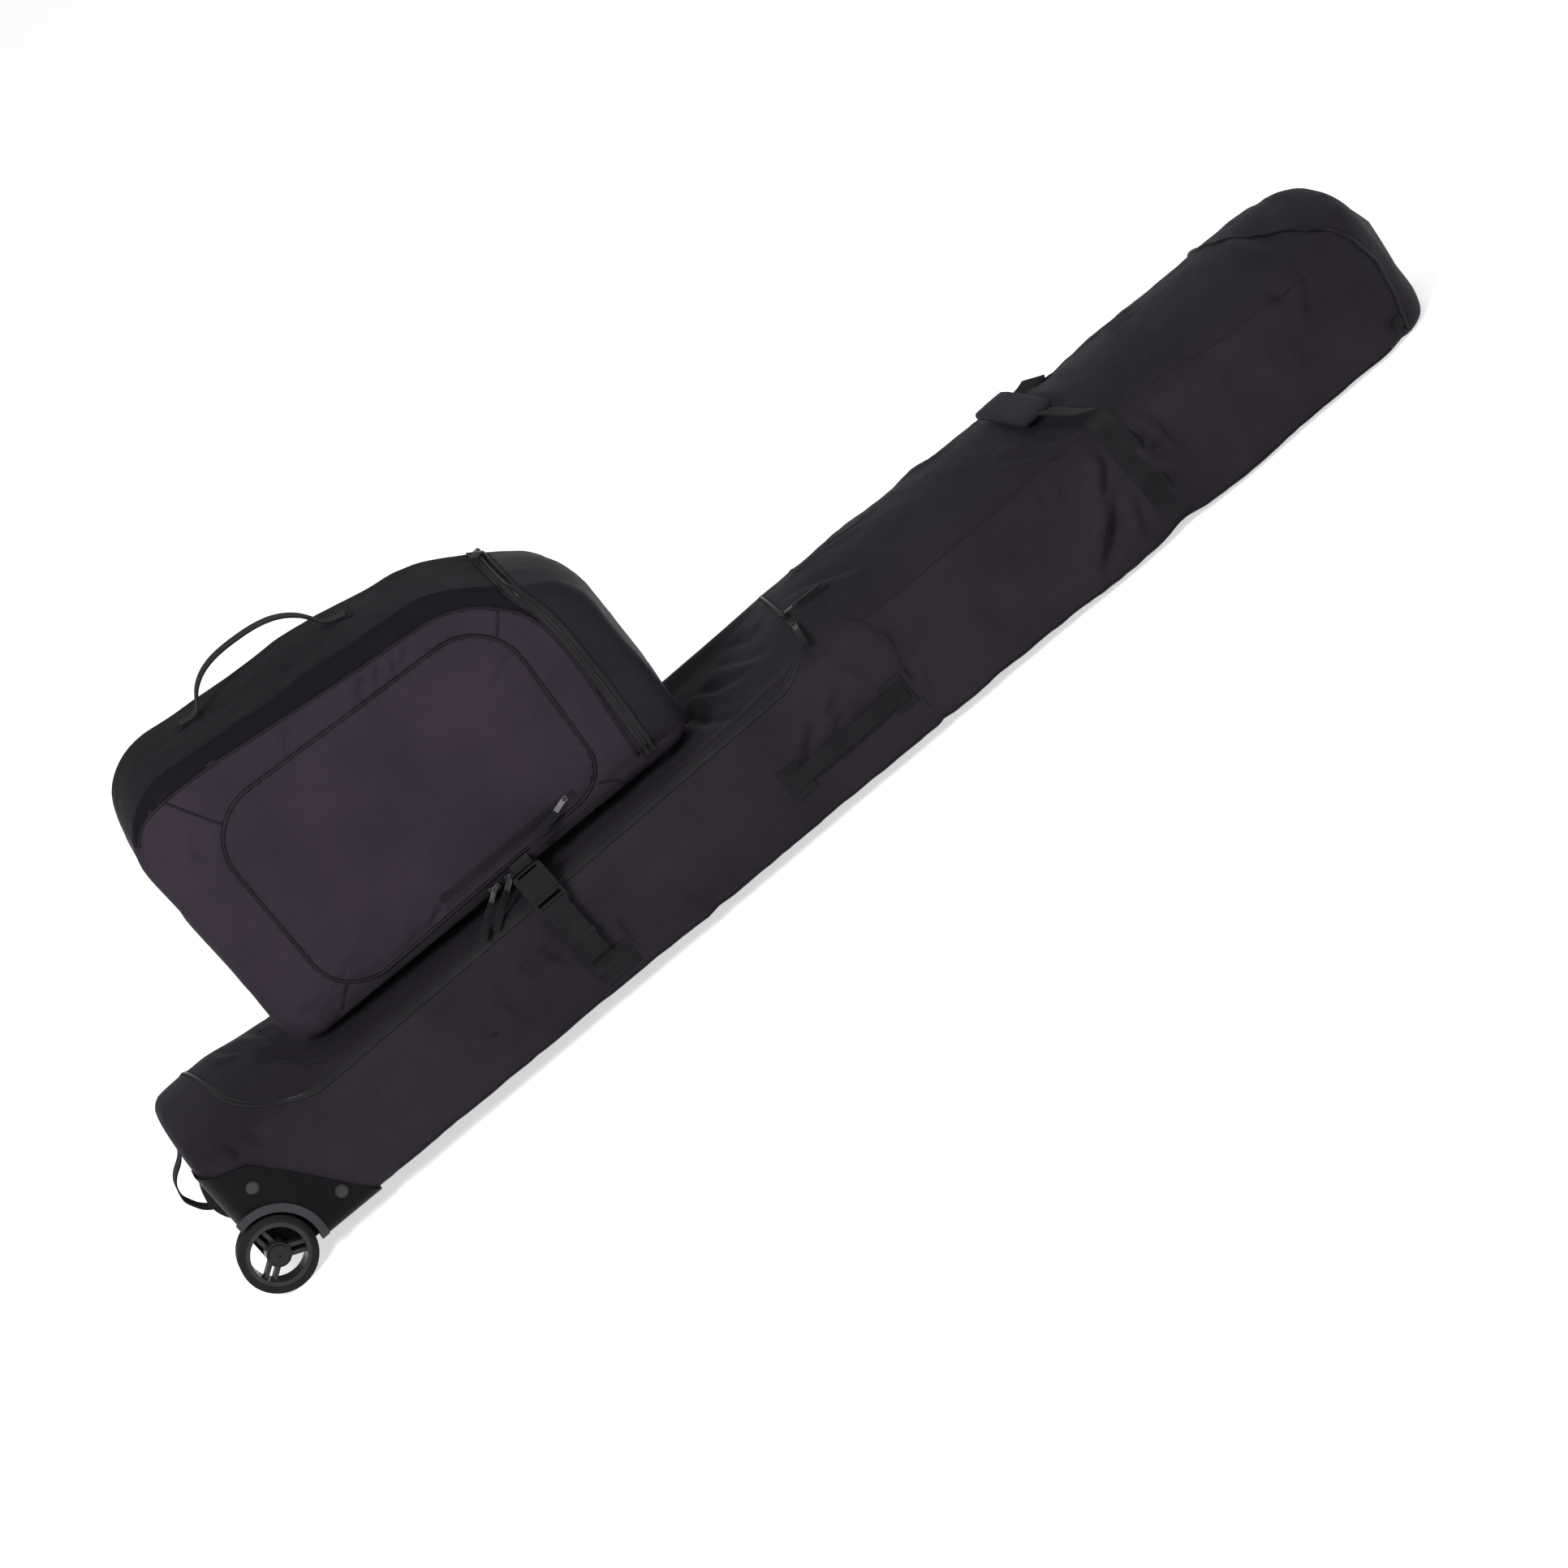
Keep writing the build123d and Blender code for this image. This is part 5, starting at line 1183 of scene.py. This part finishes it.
def makeHaulGrip():  # padded wrap round the haul loop, closed along its edge
    low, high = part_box("haul_grip")
    middle = (Vector(low) + Vector(high)) / 2
    clearSelection()
    bpy.ops.mesh.primitive_cube_add(size=1, location=middle)
    pad = bpy.context.object
    pad.name = "haulGripWrap"
    pad.scale = (grip["width"] - 0.002, grip["length"] - 0.002, grip["thickness"] - 0.0015)
    bpy.ops.object.transform_apply(location=True, rotation=True, scale=True)
    applyModifier(pad, "BEVEL", width=0.0048, segments=4)
    editWhole(pad, (bpy.ops.mesh.subdivide, {"number_cuts": 6}))
    for vertex in pad.data.vertices:
        across, along = (vertex.co.x - middle.x) / grip["width"], (vertex.co.y - middle.y) / grip["length"]
        lift = 0.0016 * (1 - (2 * across) ** 2) * (1 - (2 * along) ** 4)
        lift += 0.0005 * grain(*vertex.co, 0.02, 2.0) - 0.0012 * bump(abs(along), 0.46, 0.02)
        vertex.co.z += lift * (1 if vertex.co.z > middle.z else -0.4)
        vertex.co.x += 0.0012 * grain(*vertex.co, 0.05, 6.0)
    leanLoop(pad)
    finishPiece(pad, "haul_loop", paint["grip"], ("haul_grip",))
    for way, word in ((-1, "Near"), (1, "Far")):
        y = middle.y + way / 2 * (grip["length"] - 0.012)
        x = middle.x + haulLoop["shift"] - way * 0.92 * haulLoop["skew"]
        row = [(x + share * 0.021, y, high[2] + 0.0002 - 0.0013 * abs(share) ** 3) for share in spread(-1, 1, 21)]
        stitchRow("gripStitch" + word, [Vector(spot) for spot in row], "haul_loop")


strapPieces = (("near_strap", "nearStrapWeb", "roller"), ("near_strap_keeper", "strapKeeper", "roller"),
               ("far_strap", "farStrapWeb", "lid"), ("duffel_straps", "duffelStrapWebs", "duffel"),
               ("end_tab", "endTab", "roller"))
strapStitches = {"left": -0.349, "right": -0.321, "hem": 0.007, "hemGap": 0.016,
                 "band": (-0.345, -0.301, 0.040, 0.064), "bandY": -0.1666}


def makeStraps():
    for node, name, body in strapPieces:
        piece = softCopy(node, name)
        if node == "near_strap":
            for vertex in piece.data.vertices:  # its wide band ends under the folded hem
                if vertex.co.y > -0.1667 and 0.080 < vertex.co.z < 0.093:
                    vertex.co.z -= 0.024
        finishWebbing(piece, body, node)
    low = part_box("near_strap")[0]
    for lift, word in ((0.0, "Low"), (strapStitches["hemGap"], "High")):
        z = low[2] + strapStitches["hem"] + lift
        places = spread(strapStitches["left"], strapStitches["right"], 11)
        stitchRow("hemStitch" + word, [Vector((x, low[1] - 0.0001, z)) for x in places], "roller")
    stitchRow("strapBandStitch", boxTrail(*strapStitches["band"], strapStitches["bandY"])[:5], "roller")


# Zips and pulls
frontZips = {"foot": ((-0.600, 0.2017), (-0.190, 0.1937)), "pocket": ((-0.430, 0.2284), (-0.238, 0.2247)),
             "width": 0.008}
cornerSeams = (((-0.590, 0.520), (-0.556, 0.457)), ((-0.171, 0.440), (-0.192, 0.416)),
               ((-0.209, 0.212), (-0.190, 0.1985)), ((-0.569, 0.226), (-0.600, 0.198)))
sliderNames = ["main_zip_far", "main_zip_near", "foot_zip_left", "foot_zip_right", "pocket_zip", "door_zip"]


def makePulls():  # a metal link, and a webbing tab folded through it
    for name in sliderNames:
        plain = name.replace("_", "")
        parts = splitLoose(softCopy(name + "_pull", plain + "Link", 0))
        link, tab = parts[0], parts[-1]
        tab.name = plain + "Tab"
        for piece, edge in ((link, 0.00035), (tab, 0.0008)):
            softenEdges(piece, edge, 3, 40)
        finishPiece(link, name + "_tab", paint["tab"], (name + "_pull",))
        finishPiece(tab, name + "_tab", paint["webbing"])


def makeFrontZips(surface):
    for word, nodes in (("foot", ("front_zips",)), ("pocket", ())):
        trail = frontLine(surface, *frontZips[word], 80, 0.0009)
        tape = bandAlong(word + "ZipTape", trail, [Vector((0, -1, 0))] * 80, frontZips["width"], 0.0014)
        layCoil(word + "ZipCoil", [spot - Vector((0, 0.0008, 0)) for spot in trail], 0.0010, "duffel")
        finishPiece(tape, "duffel", paint["frontZip"], nodes)
    for letter, (start, end) in zip("ABCD", cornerSeams):
        layPiping("cornerSeam" + letter, frontLine(surface, start, end, 20, 0.0004), 0.0013, "duffel")


doorZip = {"x": -0.1465, "low": 0.198, "back": 0.094, "width": 0.0145, "round": 0.045, "roundY": -0.078,
           "line": [(0.19, -0.1420), (0.30, -0.1345), (0.375, -0.1325), (0.405, -0.1350), (0.448, -0.1465),
                    (0.500, -0.1465)]}  # height and x


def zipLine(z):
    return blendedAt(doorZip["line"], z) - doorZip["x"]


def doorTrail(surface, x):  # up the front, round its edge and back over the top
    top, corner = duffelTopHeight(surface, x, -0.05), doorZip["round"]
    centre = Vector((x, doorZip["roundY"], top - corner))
    heights = spread(doorZip["low"], centre.z, 61)[:-1]
    places = [(Vector((x + zipLine(height), -0.4, height)), Vector((0, 1, 0))) for height in heights]
    for angle in spread(0, pi / 2, 31):
        way = Vector((0, -math.cos(angle), math.sin(angle)))
        swing = Vector((zipLine(centre.z + corner * math.sin(angle)), 0, 0))
        places.append((centre + way * 0.3 + swing, -way))
    places += [(Vector((x, y, 0.9)), Vector((0, 0, -1))) for y in spread(centre.y, doorZip["back"], 51)[1:]]
    trail, normals = [], []
    for start, way in places:
        spot, normal = surface.ray_cast(start, way)[:2]
        if spot:
            trail.append(spot)
            normals.append(normal if normal.dot(way) < 0 else -normal)
    return trail, softNormals(normals)


def softNormals(normals):
    last = len(normals) - 1
    return [sum((normals[clamp(place + step, 0, last)] for step in (-2, -1, 0, 1, 2)), Vector()).normalized()
            for place in range(last + 1)]


def makeDoorZip(surface):
    trail, normals = doorTrail(surface, doorZip["x"])
    lifted = [spot + out * 0.0011 for spot, out in zip(trail, normals)]
    tape = bandAlong("doorZipTape", lifted, normals, doorZip["width"], 0.0014)
    finishPiece(tape, "duffel", paint["zip"], ("door_zip_tape",))
    layCoil("doorZipCoil", [spot + out * 0.0022 for spot, out in zip(trail, normals)], 0.0015, "duffel")
    for shift, word, body in ((-0.0075, "Inner", "duffel"), (0.0072, "Outer", "duffel_door")):
        edge = [spot + out * 0.0009 for spot, out in zip(*doorTrail(surface, doorZip["x"] + shift))]
        layPiping("doorZip" + word + "Edge", edge, 0.0016, body)


makeCamera()
makeLamps()
makeFloor()
print("camera, lamps and floor are placed")

makeRollerShell()
makeLid()
makeMainZip()
makeSeams()
print("roller is made")
duffelSurface = makeDuffel()
makeDuffelPiping(duffelSurface)
makeFrontZips(duffelSurface)
makeDoorZip(duffelSurface)
print("duffel is made")
makeEndLoop()
makeSideHandle()
makeDuffelHandle(duffelSurface)
makeHaulBand()
makeHaulGrip()
makeStraps()
makePulls()
print("webbing and pulls are made")

# CAD pieces that keep their shape take the finish of the real ones; the buckles' colour also holds painted shade
nodePaint = {
    "housing": ["near_wheel_housing", "far_wheel_housing"], "rivet": ["housing_rivets"], "trim": ["arch_trims"],
    "tyre": ["near_tyre", "far_tyre"], "rim": ["near_rim", "far_rim"], "steel": ["near_bearings", "far_bearings"],
    "coil": ["axles"], "buckle": ["near_ladder_buckle", "far_ladder_buckle", "socket_buckles", "inner_buckles"],
    "board": ["base_board"], "slider": [name + "_slider" for name in sliderNames], "webbing": ["inner_straps"],
}
for finish, names in nodePaint.items():
    for name in names:
        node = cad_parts[name]
        node.data.materials.clear()
        node.data.materials.append(paint[finish])
